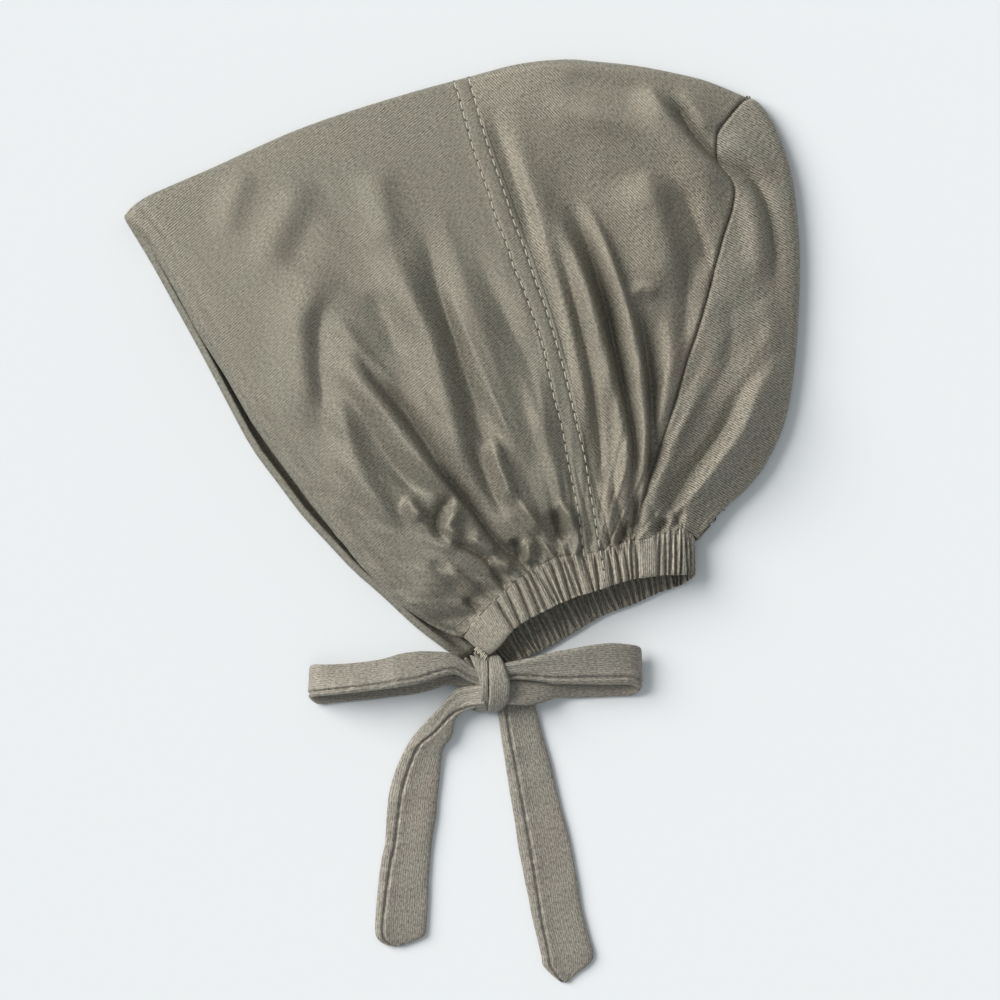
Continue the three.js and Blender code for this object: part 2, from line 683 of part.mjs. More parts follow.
function casingGeometry() {
  const length = gatherLine.getLength();
  const columns = Math.round(length / gatherPitch) * gatherColumns;
  const rings = [];
  let along = 0;
  let last = gatherLine.getPoint(0);
  for (let i = 0; i <= columns; i += 1) {
    const share = i / columns;
    const top = gatherLine.getPoint(share);
    const free = freeLine.getPoint(share);
    along += top.distanceTo(last);
    last = top;
    const drop = free.clone().sub(top).normalize();
    const outward = drop.clone().cross(gatherLine.getTangent(share)).normalize();
    const row = share * casingLast;
    const fromSeam = (row - casingEnd.frontSeamUpper) / plainSeamRows;
    const gathered = smooth((row - plainEndRows) / plainEndFade) * (1 - Math.exp(-(fromSeam ** 2)));
    const dip = (gatherDepth * gathered * (1 - Math.cos((2 * Math.PI * along) / gatherPitch))) / 2;
    const face = (depthShare, inward) => {
      const point = top.clone().addScaledVector(drop, seamGap / 2);
      point.lerp(free, depthShare);
      point.z = Math.max(point.z, 0);
      return point.addScaledVector(outward, -dip - inward);
    };
    rings.push([
      ...casingDepthShares.map((depthShare) => face(depthShare, 0)),
      ...casingDepthShares.map((depthShare) => face(1 - depthShare, casingThick)),
    ]);
  }
  return ringGeometry(rings);
}

// Ties: flat tubes along smooth paths

const sectionAngles = Array.from(
  { length: sectionSides },
  (_, side) => (2 * Math.PI * (side + 0.5)) / sectionSides,
);

const pressed = (share, power) => Math.sign(share) * Math.abs(share) ** power;

function tubeGeometry(stations, flatness, grow) {
  const curve = new THREE.CatmullRomCurve3(
    stations.map((station) => station.point),
    false,
    "centripetal",
  );
  const steps = (stations.length - 1) * sectionsPerRow;
  const side = new THREE.Vector3(0, 0, 1).cross(curve.getTangent(0)).normalize();
  const rings = [];
  for (let i = 0; i <= steps; i += 1) {
    const share = i / steps;
    const row = Math.min(Math.floor(i / sectionsPerRow), stations.length - 2);
    const between = i / sectionsPerRow - row;
    const [from, to] = [stations[row], stations[row + 1]];
    const width = THREE.MathUtils.lerp(from.width, to.width, between) + 2 * grow;
    const thick = THREE.MathUtils.lerp(from.thick, to.thick, between) + 2 * grow;
    const tangent = curve.getTangent(share);
    side.addScaledVector(tangent, -side.dot(tangent)).normalize();
    const up = tangent.clone().cross(side);
    const centre = curve.getPoint(share);
    rings.push(
      sectionAngles.map((angle) => {
        const sideShare = pressed(Math.cos(angle), flatness);
        const upShare = pressed(Math.sin(angle), flatness * thickFlatness);
        const point = centre.clone();
        point.addScaledVector(side, (sideShare * width) / 2);
        point.addScaledVector(up, (upShare * thick) / 2);
        point.z = Math.max(point.z, 0);
        return point;
      }),
    );
  }
  return ringGeometry(rings);
}

const knotCentre = planPoint(knotPlace.across, knotPlace.up);

function knotGeometry(grow) {
  const stations = knotRows.map((row) => ({
    point: new THREE.Vector3(
      knotCentre.x + row.out * (knotWidth + 2 * grow),
      knotCentre.y + row.side * knotLength,
      (row.lift + row.thick / 2) * knotHeight,
    ),
    width: row.width * knotLength,
    thick: row.thick * knotHeight,
  }));
  return tubeGeometry(stations, knotFlatness, grow);
}

function tieGeometry(tie, grow) {
  const heading = THREE.MathUtils.degToRad(tie.heading);
  const along = new THREE.Vector2(Math.cos(heading), Math.sin(heading));
  const stations = tie.rows.map((row) => ({
    point: new THREE.Vector3(
      knotCentre.x + (tie.shift ?? 0) + tie.reach * (row.out * along.x - row.side * along.y),
      knotCentre.y + tie.reach * (row.out * along.y + row.side * along.x),
      row.lift * knotHeight + tieThick / 2,
    ),
    width: row.width * tieWidth,
    thick: tieThick,
  }));
  return tubeGeometry(stations, tieFlatness, grow);
}

function rootGeometry(root) {
  const stations = root.rows.map((row) => {
    const place = planPoint(row.across, row.up);
    return {
      point: new THREE.Vector3(place.x, place.y, row.lift * knotHeight + tieThick / 2),
      width: row.width * tieWidth,
      thick: tieThick,
    };
  });
  return tubeGeometry(stations, tieFlatness, 0);
}

// Solids: closed meshes with shared points, cut clear of what they meet

function solidOf(geometry) {
  const merged = mergeVertices(geometry, samePlace);
  return new wasm.Manifold(
    new wasm.Mesh({
      numProp: 3,
      vertProperties: merged.attributes.position.array,
      triVerts: new Uint32Array(merged.index.array),
    }),
  );
}

function geometryOf(solid) {
  const mesh = solid.getMesh();
  const geometry = new THREE.BufferGeometry();
  geometry.setAttribute("position", new THREE.BufferAttribute(mesh.vertProperties, 3));
  geometry.setIndex(new THREE.BufferAttribute(mesh.triVerts, 1));
  return geometry;
}

const largestBody = (solid) => solid.decompose().sort((a, b) => b.volume() - a.volume())[0];

const clearOf = (geometry, rooms) =>
  geometryOf(largestBody(rooms.reduce((solid, room) => solid.subtract(room), solidOf(geometry))));

// The cap, one mesh for each sewn piece

const jersey = (name, color) =>
  new THREE.MeshStandardMaterial({
    name,
    color,
    roughness: 0.85,
    metalness: 0,
    side: THREE.DoubleSide,
  });

const cap = new THREE.Group();

function addPiece(name, geometry, material) {
  const mesh = new THREE.Mesh(geometry, material);
  mesh.name = name;
  cap.add(mesh);
}

addPiece(
  "front_panel",
  panelGeometry(frontPanel, evenShares(frontColumns)),
  jersey("front jersey", 0x888579),
);
addPiece(
  "middle_panel",
  panelGeometry(middlePanel, evenShares(middleColumns)),
  jersey("middle jersey", 0x868377),
);
addPiece("back_panel", panelGeometry(backPanel, seamShares), jersey("back jersey", 0x807c70));
addPiece("neck_casing", casingGeometry(), jersey("gathered jersey", 0x7a756b));
addPiece("bow_knot", knotGeometry(0), jersey("knotted jersey", 0x827e73));
const takenRooms = [solidOf(knotGeometry(knotGap))];
for (const tie of ties) {
  addPiece(tie.name, clearOf(tieGeometry(tie, 0), takenRooms), jersey("tie jersey", 0x7f7b70));
  takenRooms.push(solidOf(tieGeometry(tie, tieGap)));
}
for (const root of tieRoots) {
  addPiece(root.name, clearOf(rootGeometry(root), takenRooms), jersey("tie jersey", 0x7f7b70));
}

// The origin is under the middle of the whole piece
const bounds = new THREE.Box3().setFromObject(cap);
const middle = bounds.getCenter(new THREE.Vector3());
cap.position.set(-middle.x, -middle.y, -bounds.min.z);

export default cap;
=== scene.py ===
import math

import bpy
import numpy as np
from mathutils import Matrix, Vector


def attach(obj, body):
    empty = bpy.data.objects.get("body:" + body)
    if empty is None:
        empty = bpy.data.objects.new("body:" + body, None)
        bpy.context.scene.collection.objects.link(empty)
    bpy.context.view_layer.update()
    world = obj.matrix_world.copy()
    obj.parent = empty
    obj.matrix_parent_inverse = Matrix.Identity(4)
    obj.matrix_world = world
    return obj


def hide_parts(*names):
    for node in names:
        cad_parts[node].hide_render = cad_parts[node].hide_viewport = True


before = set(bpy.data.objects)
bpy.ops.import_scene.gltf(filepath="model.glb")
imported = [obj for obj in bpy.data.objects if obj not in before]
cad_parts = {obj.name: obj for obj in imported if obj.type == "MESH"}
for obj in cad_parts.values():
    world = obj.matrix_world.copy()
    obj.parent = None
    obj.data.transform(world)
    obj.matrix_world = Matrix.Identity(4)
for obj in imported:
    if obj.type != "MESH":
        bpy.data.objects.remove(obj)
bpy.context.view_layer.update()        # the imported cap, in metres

# Hijab underscarf cap of jersey, lying flat on its side with its bow tied.
# Outlines are shares of the cap: across 0 is the face tip and 1 the back of the head, up 0 the
# casing's front end and 1 the crown. Folds and ties are on a plan of 0.43 mm squares, counted
# right and down. Heights, widths and depths are millimetres; the meshes are made in metres.

capSize = (290.0, 260.0)          # depth and height
capCorner = (-145.0, -62.2)       # where shares 0, 0 lie
squareSize = 0.43
planOrigin = (125, 60)            # plan square at the cap's corner of shares 0, 1
planCorner = (-145.0, 197.85)
mm = 0.001
perMetre = 1000
lowest = 0.05                     # least height of anything above the table


def place(shares):
    return np.asarray(capCorner) + np.asarray(shares, float) * np.asarray(capSize)


def plan(squares):
    p = (np.asarray(squares, float) - planOrigin) * squareSize
    return np.stack([planCorner[0] + p[..., 0], planCorner[1] - p[..., 1]], -1)


# Lines and small shape functions

def smooth(share):
    held = np.clip(share, 0, 1)
    return held * held * (3 - 2 * held)


def bell(distance, width, power=2.0):
    return np.exp(-np.abs(distance / width) ** power)


def unit(vectors):
    return vectors / np.maximum(np.linalg.norm(vectors, axis=-1, keepdims=True), 1e-9)


def curveThrough(points, perSpan=12):
    p = np.asarray(points, float)
    ends = np.vstack([p[:1], p, p[-1:]])
    found = []
    for i in range(len(p) - 1):
        a, b, c, d = ends[i:i + 4]
        t = np.linspace(0, 1, perSpan, endpoint=False)[:, None]
        found.append(0.5 * (2 * b + (c - a) * t + (2 * a - 5 * b + 4 * c - d) * t ** 2
                            + (3 * b - a - 3 * c + d) * t ** 3))
    return np.vstack(found + [p[-1:]])


def lengthsAlong(line):
    return np.concatenate([[0], np.cumsum(np.linalg.norm(np.diff(line, axis=0), axis=1))])


def lineAt(line, shares):
    along = lengthsAlong(line)
    at = np.asarray(shares) * along[-1]
    return np.stack([np.interp(at, along, line[:, k]) for k in range(line.shape[1])], -1)


# Distance to a line, share along it, and which hand of its way: -1 is left of one running down
def nearest(line, places):
    best = np.full(len(places), 1e9)
    share = np.zeros(len(places))
    side = np.ones(len(places))
    along = lengthsAlong(line)
    for i in range(len(line) - 1):
        way = line[i + 1] - line[i]
        t = np.clip((places - line[i]) @ way / max(way @ way, 1e-9), 0, 1)
        off = places - line[i] - t[:, None] * way
        far = np.hypot(off[:, 0], off[:, 1])
        hit = far < best
        best[hit] = far[hit]
        share[hit] = (along[i] + t[hit] * (along[i + 1] - along[i])) / along[-1]
        side[hit] = np.where(way[0] * off[hit, 1] - way[1] * off[hit, 0] < 0, -1, 1)
    return best, share, side


latticeSize = 64
latticeShift = 20.5


# Soft noise from -1 to 1 with lumps of the given size
def cloud(x, y, size, seed):
    lattice = np.random.default_rng(seed).uniform(-1, 1, (latticeSize, latticeSize))
    u, v = np.asarray(x) / size + latticeShift, np.asarray(y) / size + latticeShift
    i, j = np.floor(u).astype(int), np.floor(v).astype(int)
    s, t = smooth(u - i), smooth(v - j)

    def at(a, b):
        return lattice[a % latticeSize, b % latticeSize]

    return ((at(i, j) * (1 - s) + at(i + 1, j) * s) * (1 - t)
            + (at(i, j + 1) * (1 - s) + at(i + 1, j + 1) * s) * t)


def addObject(name, data):
    thing = bpy.data.objects.new(name, data)
    bpy.context.scene.collection.objects.link(thing)
    return thing


# Camera: straight above, far enough to see the cap flat

view = {"centre": (16.25, 8.6), "width": 430, "height": 2400, "sensor": 36}
cameraData = bpy.data.cameras.new("topCamera")
cameraData.sensor_width = view["sensor"]
cameraData.lens = view["sensor"] * view["height"] / view["width"]
cameraData.clip_start = 0.05
cameraData.clip_end = 50
camera = addObject("topCamera", cameraData)
camera.location = (view["centre"][0] * mm, view["centre"][1] * mm, view["height"] * mm)
bpy.context.scene.camera = camera
print("camera placed")

# Outlines of the folded cloth, as on the solid cap

outline = {
    "topFront": [(0, 0.742), (0.012, 0.757), (0.034, 0.774), (0.076, 0.795), (0.134, 0.823),
                 (0.228, 0.871), (0.285, 0.896), (0.341, 0.917), (0.408, 0.94), (0.455, 0.955),
                 (0.513, 0.972)],
    "crown": [(0.513, 0.972), (0.582, 0.992), (0.65, 1), (0.703, 0.996), (0.76, 0.989),
              (0.816, 0.977), (0.865, 0.963), (0.923, 0.936)],
    "back": [(0.923, 0.936), (0.938, 0.929), (0.957, 0.902), (0.976, 0.855), (0.99, 0.798),
             (0.998, 0.72), (1, 0.645), (0.996, 0.54), (0.988, 0.455), (0.976, 0.395),
             (0.955, 0.342), (0.935, 0.308), (0.912, 0.281), (0.881, 0.25)],
    "faceUpper": [(0, 0.742), (0.039, 0.688), (0.077, 0.617), (0.114, 0.542), (0.153, 0.473),
                  (0.19, 0.401), (0.228, 0.342), (0.266, 0.284), (0.304, 0.23), (0.341, 0.18),
                  (0.38, 0.132), (0.44, 0.078)],
    "faceLower": [(0, 0.742), (0.039, 0.671), (0.077, 0.595), (0.114, 0.52), (0.153, 0.438),
                  (0.19, 0.362), (0.228, 0.304), (0.266, 0.248), (0.304, 0.202), (0.341, 0.158),
                  (0.38, 0.12), (0.43, 0.068), (0.462, 0.04)],
    "frontSeamUpper": [(0.513, 0.972), (0.531, 0.901), (0.573, 0.769), (0.614, 0.641),
                       (0.647, 0.527), (0.671, 0.421), (0.688, 0.324)],
    "frontSeamLower": [(0.513, 0.972), (0.556, 0.769), (0.631, 0.529)],
    "backSeamUpper": [(0.923, 0.936), (0.913, 0.928), (0.896, 0.906), (0.879, 0.881),
                      (0.876, 0.86), (0.878, 0.83), (0.893, 0.807), (0.902, 0.784),
                      (0.898, 0.75), (0.884, 0.701), (0.863, 0.611), (0.847, 0.549),
                      (0.831, 0.5), (0.813, 0.43), (0.794, 0.365), (0.78, 0.32), (0.764, 0.257)],
    "backSeamLower": [(0.923, 0.936), (0.895, 0.802), (0.838, 0.521)],
}

# Casing stations from its upper front end round the nape to its lower front end: place of the
# gathers, heading in degrees to the free edge, depth to it, and the outer face's height
casingPlan = [
    (0.501, 0.045, -42, 12.2, 8.5), (0.525, 0.079, -59, 15, 10.6), (0.556, 0.114, -62, 14.6, 13.4),
    (0.593, 0.149, -63, 17.2, 15.4), (0.638, 0.177, -69, 18.3, 16), (0.69, 0.185, -79, 15.8, 16),
    (0.737, 0.2, -85, 15.6, 15.7), (0.786, 0.212, -90, 16.4, 14.7), (0.825, 0.223, -90, 18.9, 12.8),
    (0.846, 0.208, -88, 14.7, 6.6), (0.825, 0.192, -85, 14.7, 0.3), (0.786, 0.179, -82, 15.2, 0.3),
    (0.737, 0.157, -74, 15.3, 0.3), (0.69, 0.134, -67, 14.4, 0.3), (0.638, 0.101, -63, 14.4, 0.3),
    (0.586, 0.071, -59, 15, 0.3), (0.542, 0.038, -52, 12, 0.3), (0.501, 0.008, -38, 7.6, 0.3),
]
casingSpans = 24                  # samples in each span between stations
casingEnds = {"frontSeamUpper": 5.45, "backSeamUpper": 6.35, "nape": 9, "backSeamLower": 11.55,
              "frontSeamLower": 12.45, "last": 17}

gatherPoints = np.array([[*place(row[:2]), row[4]] for row in casingPlan])
freePoints = np.array([
    [*(place(row[:2]) + row[3] * np.array([math.cos(math.radians(row[2])),
                                           math.sin(math.radians(row[2]))])), row[4]]
    for row in casingPlan])
gatherLine = curveThrough(gatherPoints, casingSpans)
freeLine = curveThrough(freePoints, casingSpans)


def gatherStretch(fromRow, toRow, count=60):
    rows = np.linspace(fromRow, toRow, count) * casingSpans
    return np.stack([np.interp(rows, np.arange(len(gatherLine)), gatherLine[:, k])
                     for k in range(3)], -1)


def seamLine(name, endRow=None):
    points = place(outline[name])
    if endRow is not None:
        points = np.vstack([points, gatherStretch(endRow, endRow, 1)[:, :2]])
    return curveThrough(points)


topFront = seamLine("topFront")
crown = seamLine("crown")
backFold = seamLine("back", casingEnds["nape"])
faceUpper = seamLine("faceUpper", 0)
faceLower = seamLine("faceLower", casingEnds["last"])
frontSeamUpper = seamLine("frontSeamUpper", casingEnds["frontSeamUpper"])
frontSeamLower = seamLine("frontSeamLower", casingEnds["frontSeamLower"])
backSeamUpper = seamLine("backSeamUpper", casingEnds["backSeamUpper"])
backSeamLower = seamLine("backSeamLower", casingEnds["backSeamLower"])
topEdge = np.vstack([topFront, crown[1:]])
gatherUpper = gatherStretch(0, casingEnds["nape"], 100)
gatherUpperAlong = lengthsAlong(gatherUpper)
gatherUpperLength = gatherUpperAlong[-1]

# Neck casing: a band drawn into uneven rolls by the elastic inside it

casing = {
    "columns": 1300, "depthRows": 15, "thick": 2.6, "rollDepth": (2.6, 1.0), "innerDepth": (0.4, 2.5),
    "rollPitch": (1.6, 3.4), "moreRolls": 90, "rollShoulder": 2.0, "rollSharp": 0.55,
    "tuckUnder": 0.9, "tuckDown": 0.35, "slit": 1.15, "slitWidth": 0.42, "wander": 1.1,
    "edgeDip": 0.7, "edgeShare": 0.4, "edgeBulge": 0.7, "edgeRings": (0.3, 0.7), "endLift": 0.5,
    "innerShift": 1.3, "turnOver": 0.8, "runInMost": 3, "mapDepth": 15, "seed": 21,
}
# Where the rolls of the upper side meet at its free edge
rollMarks = [(465, 640), (489, 664), (513.6, 629.4), (522.8, 624), (533.5, 618), (542.7, 613.4),
             (548, 610), (555, 607), (560, 605), (565.6, 602.7), (573, 599.6), (577.5, 598),
             (582.5, 595.8), (591.6, 592), (598.5, 589), (610.8, 584), (618, 582), (626.8, 580.5),
             (631, 579), (636, 578), (657.5, 575.9), (663, 575), (668, 574), (674, 573.6),
             (680, 572.5), (686, 571), (691, 570)]

bandCount = casing["columns"]
bandRows = np.linspace(0, len(gatherLine) - 1, bandCount)
bandTop = np.stack([np.interp(bandRows, np.arange(len(gatherLine)), gatherLine[:, k])
                    for k in range(3)], -1)
bandFree = np.stack([np.interp(bandRows, np.arange(len(freeLine)), freeLine[:, k])
                     for k in range(3)], -1)
bandStation = bandRows / casingSpans
bandAlong = lengthsAlong((bandTop + bandFree) / 2)
bandAt = np.interp(np.linspace(0, casingEnds["nape"], len(gatherUpper)), bandStation, bandAlong)

rollRandom = np.random.default_rng(casing["seed"])
upperFree = bandFree[:bandCount // 2]
tracedRolls = np.unique(np.interp(
    nearest(upperFree[:, :2], plan(rollMarks))[1] * lengthsAlong(upperFree)[-1],
    lengthsAlong(bandFree), bandAlong))
rollEdges = np.concatenate([
    [-6], tracedRolls,
    tracedRolls[-1] + np.cumsum(rollRandom.uniform(*casing["rollPitch"], casing["moreRolls"]))])
rollLeans = rollRandom.uniform(-1, 1, len(rollEdges)) * casing["wander"]
rollWidths = np.diff(rollEdges, append=rollEdges[-1] + 3)
rollFullness = rollRandom.uniform(0.6, 1, len(rollEdges))


# How far the band dips at a length along it and a depth from the gathers, as a share of the
# depth that its rolls have
def rollDip(along, depth, shift=0.0, seed=31, slit=0.0):
    at = along + shift
    lean = (np.interp(at, rollEdges, rollLeans) * (depth - 0.5) * 2
            + np.sin(depth * math.pi) * 0.5 * cloud(at, 0 * at, 5, seed))
    spot = np.interp(at + lean, rollEdges, np.arange(len(rollEdges)))
    within = spot - np.floor(spot)
    number = np.clip(np.floor(spot).astype(int), 0, len(rollEdges) - 1)
    toEdge = np.minimum(within, 1 - within) * rollWidths[number]
    shoulder = np.minimum(toEdge / casing["rollShoulder"], 1) ** casing["rollSharp"]
    return (1 - shoulder) * rollFullness[number] + slit * bell(toEdge, casing["slitWidth"])


# Height of the cloth's outer face: fold roll, dome over the crown, neck, pleats, ripples, seams

dome = {
    "foldHeight": 7, "rise": 15, "topReach": 35, "backReach": 36, "faceReach": 130,
    "atFace": 0.52, "neckReach": 28, "calmReach": 16, "atNeck": 0.45, "atNeckReach": 10,
    "clearance": 0.15,
}
pleats = {"pitch": 8.0, "wander": 0.45, "sharp": 0.7, "depth": 2.6, "reach": 15, "start": 6,
          "rollReach": 5.0, "edgeReach": 9}
ripples = {"centre": (0.68, 0.1), "height": 0.8, "turns": (1.6, 3.4), "lengths": (0.16, 0.3),
           "fineShare": 0.6, "reach": 190}
seams = {"depth": 1.6, "width": 0.75, "sharp": 1.6, "twinGauge": 6.2, "twinFade": 5, "twinSunk": 0.45,
         "twinWidth": 0.8, "twinCalm": 0.75, "twinLift": 0.35}

# Folds of the upper layer: rise, width on the left and on the right of the crest, then the
# crest from its top end down. Below 0 is a crease or a pocket.
frontFolds = [
    (1.1, 6, 6, (247, 163), (240, 186), (233, 208), (225, 240)),
    (1.2, 7, 7, (307, 178), (299, 197), (286, 221), (272, 248), (265, 276)),
    (-0.6, 6, 6, (314, 218), (304, 243), (294, 272)),
    (2.1, 9, 7, (329, 270), (314, 294), (303, 318), (302, 342), (304, 372), (310, 400), (316, 428)),
    (-1.5, 4.5, 3.5, (327, 302), (320, 332), (320, 360), (322, 390), (326, 422)),
    (1.3, 3, 3, (337, 317), (350, 335), (367, 357), (386, 379), (402, 400)),
    (3.0, 5, 6, (338, 340), (346, 358), (361, 386), (382, 412), (405, 445), (428, 470), (453, 489)),
    (2.6, 6, 2.2, (350, 350), (370, 378), (394, 408), (427, 456), (449, 484), (468, 508)),
    (-4.7, 1.5, 4.0, (357, 352), (374, 380), (401, 413), (434, 461), (456, 489), (474, 511),
     (488, 531), (500, 545), (512, 555), (524, 564)),
    (-2.6, 1.3, 1.6, (424, 448), (440, 470), (456, 489), (474, 511), (488, 531), (500, 545),
     (512, 555), (524, 564), (536, 578)),
    (-1.2, 6, 6, (372, 290), (388, 330), (400, 365)),
    (1.5, 8, 6, (376, 168), (385, 210), (394, 250)),
    (4.2, 9, 6, (388, 240), (413, 300), (428, 333), (441, 374), (450, 407), (459, 446), (471, 470),
     (485, 497)),
    (-2.8, 5, 4.5, (424, 232), (436, 278), (447, 316), (462, 366), (478, 416), (486, 457)),
    (2.6, 4, 8, (446, 278), (456, 305), (473, 349), (489, 386), (503, 416), (519, 449), (529, 467)),
    (1.2, 6, 8, (462, 285), (488, 330), (512, 372), (530, 410), (545, 455)),
    (-1.3, 5, 5, (478, 262), (498, 305), (520, 350), (536, 395)),
    (1.6, 5, 4, (535, 400), (550, 450), (566, 500)),
    (3.8, 3.2, 3.4, (491, 438), (498, 462), (506, 484), (514, 508)),
    (-2.2, 3, 3, (470, 438), (482, 470), (494, 497), (508, 520)),
    (2.4, 5, 4.5, (338, 392), (347, 430), (363, 470), (382, 500), (406, 524)),
    (-1.8, 4, 3.5, (360, 412), (382, 448), (405, 481), (426, 506)),
    (1.6, 4, 4, (330, 440), (352, 474), (378, 506), (404, 534)),
    (-1.3, 4, 4, (344, 500), (372, 534), (402, 566), (430, 594)),
    (3.6, 3.2, 2.6, (406, 497), (414, 506), (424, 520)),
    (-3.6, 2.6, 1.9, (455, 494), (444, 506), (438, 520), (440, 532), (452, 541)),
    (4.0, 3.0, 3.2, (462, 507), (454, 516), (450, 527), (462, 537)),
    (-3.4, 2.2, 1.8, (452, 541), (466, 546), (480, 553), (492, 562)),
    (2.8, 2.6, 2.6, (470, 534), (482, 544), (498, 553)),
    (3.0, 2.8, 2.6, (488, 560), (500, 564), (514, 567)),
    (-3.6, 1.6, 1.5, (486, 556), (494, 569), (502, 581), (510, 592)),
    (-3.0, 1.7, 1.5, (464, 598), (472, 605), (481, 614)),
    (1.6, 3, 3, (446, 566), (462, 580), (478, 596)),
    (-1.4, 3, 3, (430, 560), (446, 576), (462, 594)),
    (-4.4, 2.4, 1.8, (512, 538), (519, 550), (524, 562)),
    (3.4, 2.4, 2.4, (527, 540), (528, 553), (522, 563)),
    (2.2, 2.4, 2.6, (541, 556), (548, 566), (556, 580)),
    (-2.2, 1.8, 1.8, (531, 560), (540, 572), (548, 584)),
    (3.2, 2.6, 2.4, (514, 496), (530, 516), (540, 534), (550, 550), (562, 558), (571, 560)),
    (3.7, 2.4, 2.2, (558, 500), (569, 515), (578, 532), (579, 550), (573, 560)),
    (-4.6, 2.6, 2.6, (553, 508), (558, 526), (565, 542)),
    (-4.2, 2.4, 1.4, (534, 524), (543, 538), (553, 551), (564, 562)),
    (-3.8, 1.5, 1.3, (574, 512), (580, 530), (582, 548), (580, 560)),
    (-2.0, 1.6, 1.6, (560, 555), (569, 572), (577, 590)),
    (-3.0, 1.5, 1.5, (582, 545), (586, 560), (592, 576)),
    (1.4, 3, 3, (402, 500), (430, 530), (456, 558)),
]
middleFolds = [
    (2.8, 3.4, 8, (506, 122), (530, 186), (549, 251), (564, 300), (576, 350), (586, 400), (590, 450)),
    (-1.4, 4, 3, (488, 110), (503, 150), (522, 205), (536, 250)),
    (-3.2, 3.2, 2.6, (556, 245), (567, 280), (577, 318), (586, 352), (594, 400), (600, 450),
     (601, 500)),
    (4.6, 4.4, 2.4, (554, 214), (572, 252), (588, 292), (600, 332), (612, 376), (622, 412), (627, 446),
     (627, 480), (623, 506), (618, 532)),
    (-5.0, 3.4, 2.6, (562, 202), (578, 226), (589, 252), (597, 280), (606, 310), (613, 345),
     (621, 385), (629, 420), (633, 450), (631, 480), (627, 505)),
    (4.6, 4.6, 2.0, (584, 206), (602, 240), (615, 275), (627, 312), (637, 352), (643, 392),
     (646, 432), (644, 466), (641, 492), (631, 514)),
    (-4.2, 2.0, 5, (636, 300), (643, 340), (648, 380), (650, 420), (650, 455), (645, 490)),
    (1.8, 3, 3, (626, 300), (640, 291), (658, 296)),
    (2.4, 4, 5, (668, 318), (669, 362), (660, 415), (652, 455)),
    (3.8, 14, 6, (640, 170), (656, 220), (668, 262), (672, 300)),
    (2.0, 6, 6, (540, 106), (590, 118), (634, 128), (664, 146), (694, 174), (713, 206), (720, 248)),
    (-2.6, 7, 1.6, (668, 180), (684, 198), (692, 214), (699, 234), (706, 256), (714, 280)),
    (-2.2, 5, 5, (690, 240), (687, 275), (684, 315), (680, 350)),
    (-3.6, 2.0, 2.4, (668, 96), (680, 114), (696, 140), (712, 158), (722, 168), (734, 174)),
    (3.0, 8, 2.2, (646, 84), (660, 108), (678, 132), (698, 153), (716, 170), (734, 188)),
    (1.4, 3, 7, (680, 88), (696, 112), (712, 136)),
    (-1.3, 5, 4, (560, 74), (600, 82), (650, 92)),
    (-3.2, 1.6, 1.6, (628, 520), (622, 536), (618, 550)),
    (-3.0, 1.4, 1.4, (638, 492), (634, 520), (631, 548)),
    (1.6, 3, 3, (604, 480), (608, 512), (606, 545)),
]
backFolds = [
    (-3.6, 2.6, 4, (716, 160), (730, 170), (746, 176), (758, 188), (768, 212), (774, 246), (776, 290)),
    (1.4, 4, 6, (722, 138), (740, 150), (758, 162), (772, 182)),
    (1.8, 5, 5, (740, 190), (754, 226), (758, 285)),
    (-1.5, 5, 5, (728, 300), (730, 340), (722, 376)),
    (1.6, 6, 6, (757, 300), (772, 326), (782, 352)),
    (4.0, 4.6, 8, (789, 345), (775, 372), (756, 398), (745, 424), (727, 452), (704, 482), (683, 504),
     (668, 518)),
    (-3.4, 4.4, 2.6, (742, 392), (728, 420), (712, 445), (696, 468), (680, 492), (664, 514),
     (656, 530)),
    (2.2, 3.6, 4, (704, 375), (686, 412), (670, 450), (656, 490), (646, 520)),
    (-4.0, 1.8, 1.8, (668, 518), (660, 528), (655, 538)),
    (2.0, 3, 2.4, (757, 466), (738, 490), (716, 506), (700, 522)),
    (-2.6, 1.6, 1.2, (742, 488), (722, 505), (704, 520), (694, 534)),
    (-2.2, 1.4, 1.4, (684, 508), (676, 522), (672, 538)),
]
foldEnd = {"share": 0.32, "left": 0.15}     # share of a fold's length over which it fades
foldForm = {"rise": (1.36, 2.0), "crease": (1.25, 1.5)}      # gain and sharpness of the profile
foldReach = 2.6                   # widths at which a fold has died out


def foldRelief(places):
    height = np.zeros(len(places))
    for rise, left, right, *crest in frontFolds + middleFolds + backFolds:
        line = curveThrough(plan(crest), 6)
        reach = foldReach * max(left, right)
        near = np.all((places > line.min(0) - reach) & (places < line.max(0) + reach), axis=1)
        if not near.any():
            continue
        distance, share, side = nearest(line, places[near])
        width = np.where(side < 0, left, right)
        fade = (smooth(share / foldEnd["share"] + foldEnd["left"])
                * smooth((1 - share) / foldEnd["share"] + foldEnd["left"]))
        gain, power = foldForm["rise" if rise > 0 else "crease"]
        height[near] += gain * rise * fade * bell(distance, width, power)
    return height


twinRows = {
    "left": [(454, 82), (461, 105), (468.5, 133), (477, 162), (488, 193), (496.5, 221), (507, 247),
             (514, 270), (522, 287), (532, 315), (541, 341), (547.5, 369), (554, 400), (561, 425),
             (567, 459), (572, 484), (577, 507), (580, 528), (582, 545), (584, 557)],
    "right": [(468.5, 78), (475, 101), (484, 134), (494, 165), (504, 193), (514, 224), (525, 252),
              (535, 282), (545, 308), (555, 341), (563, 369), (571, 402), (577, 428), (584, 456),
              (589, 487), (593, 510), (596, 530), (600, 553), (603, 568), (604, 580)],
}
twinLines = {name: curveThrough(plan(row), 4) for name, row in twinRows.items()}


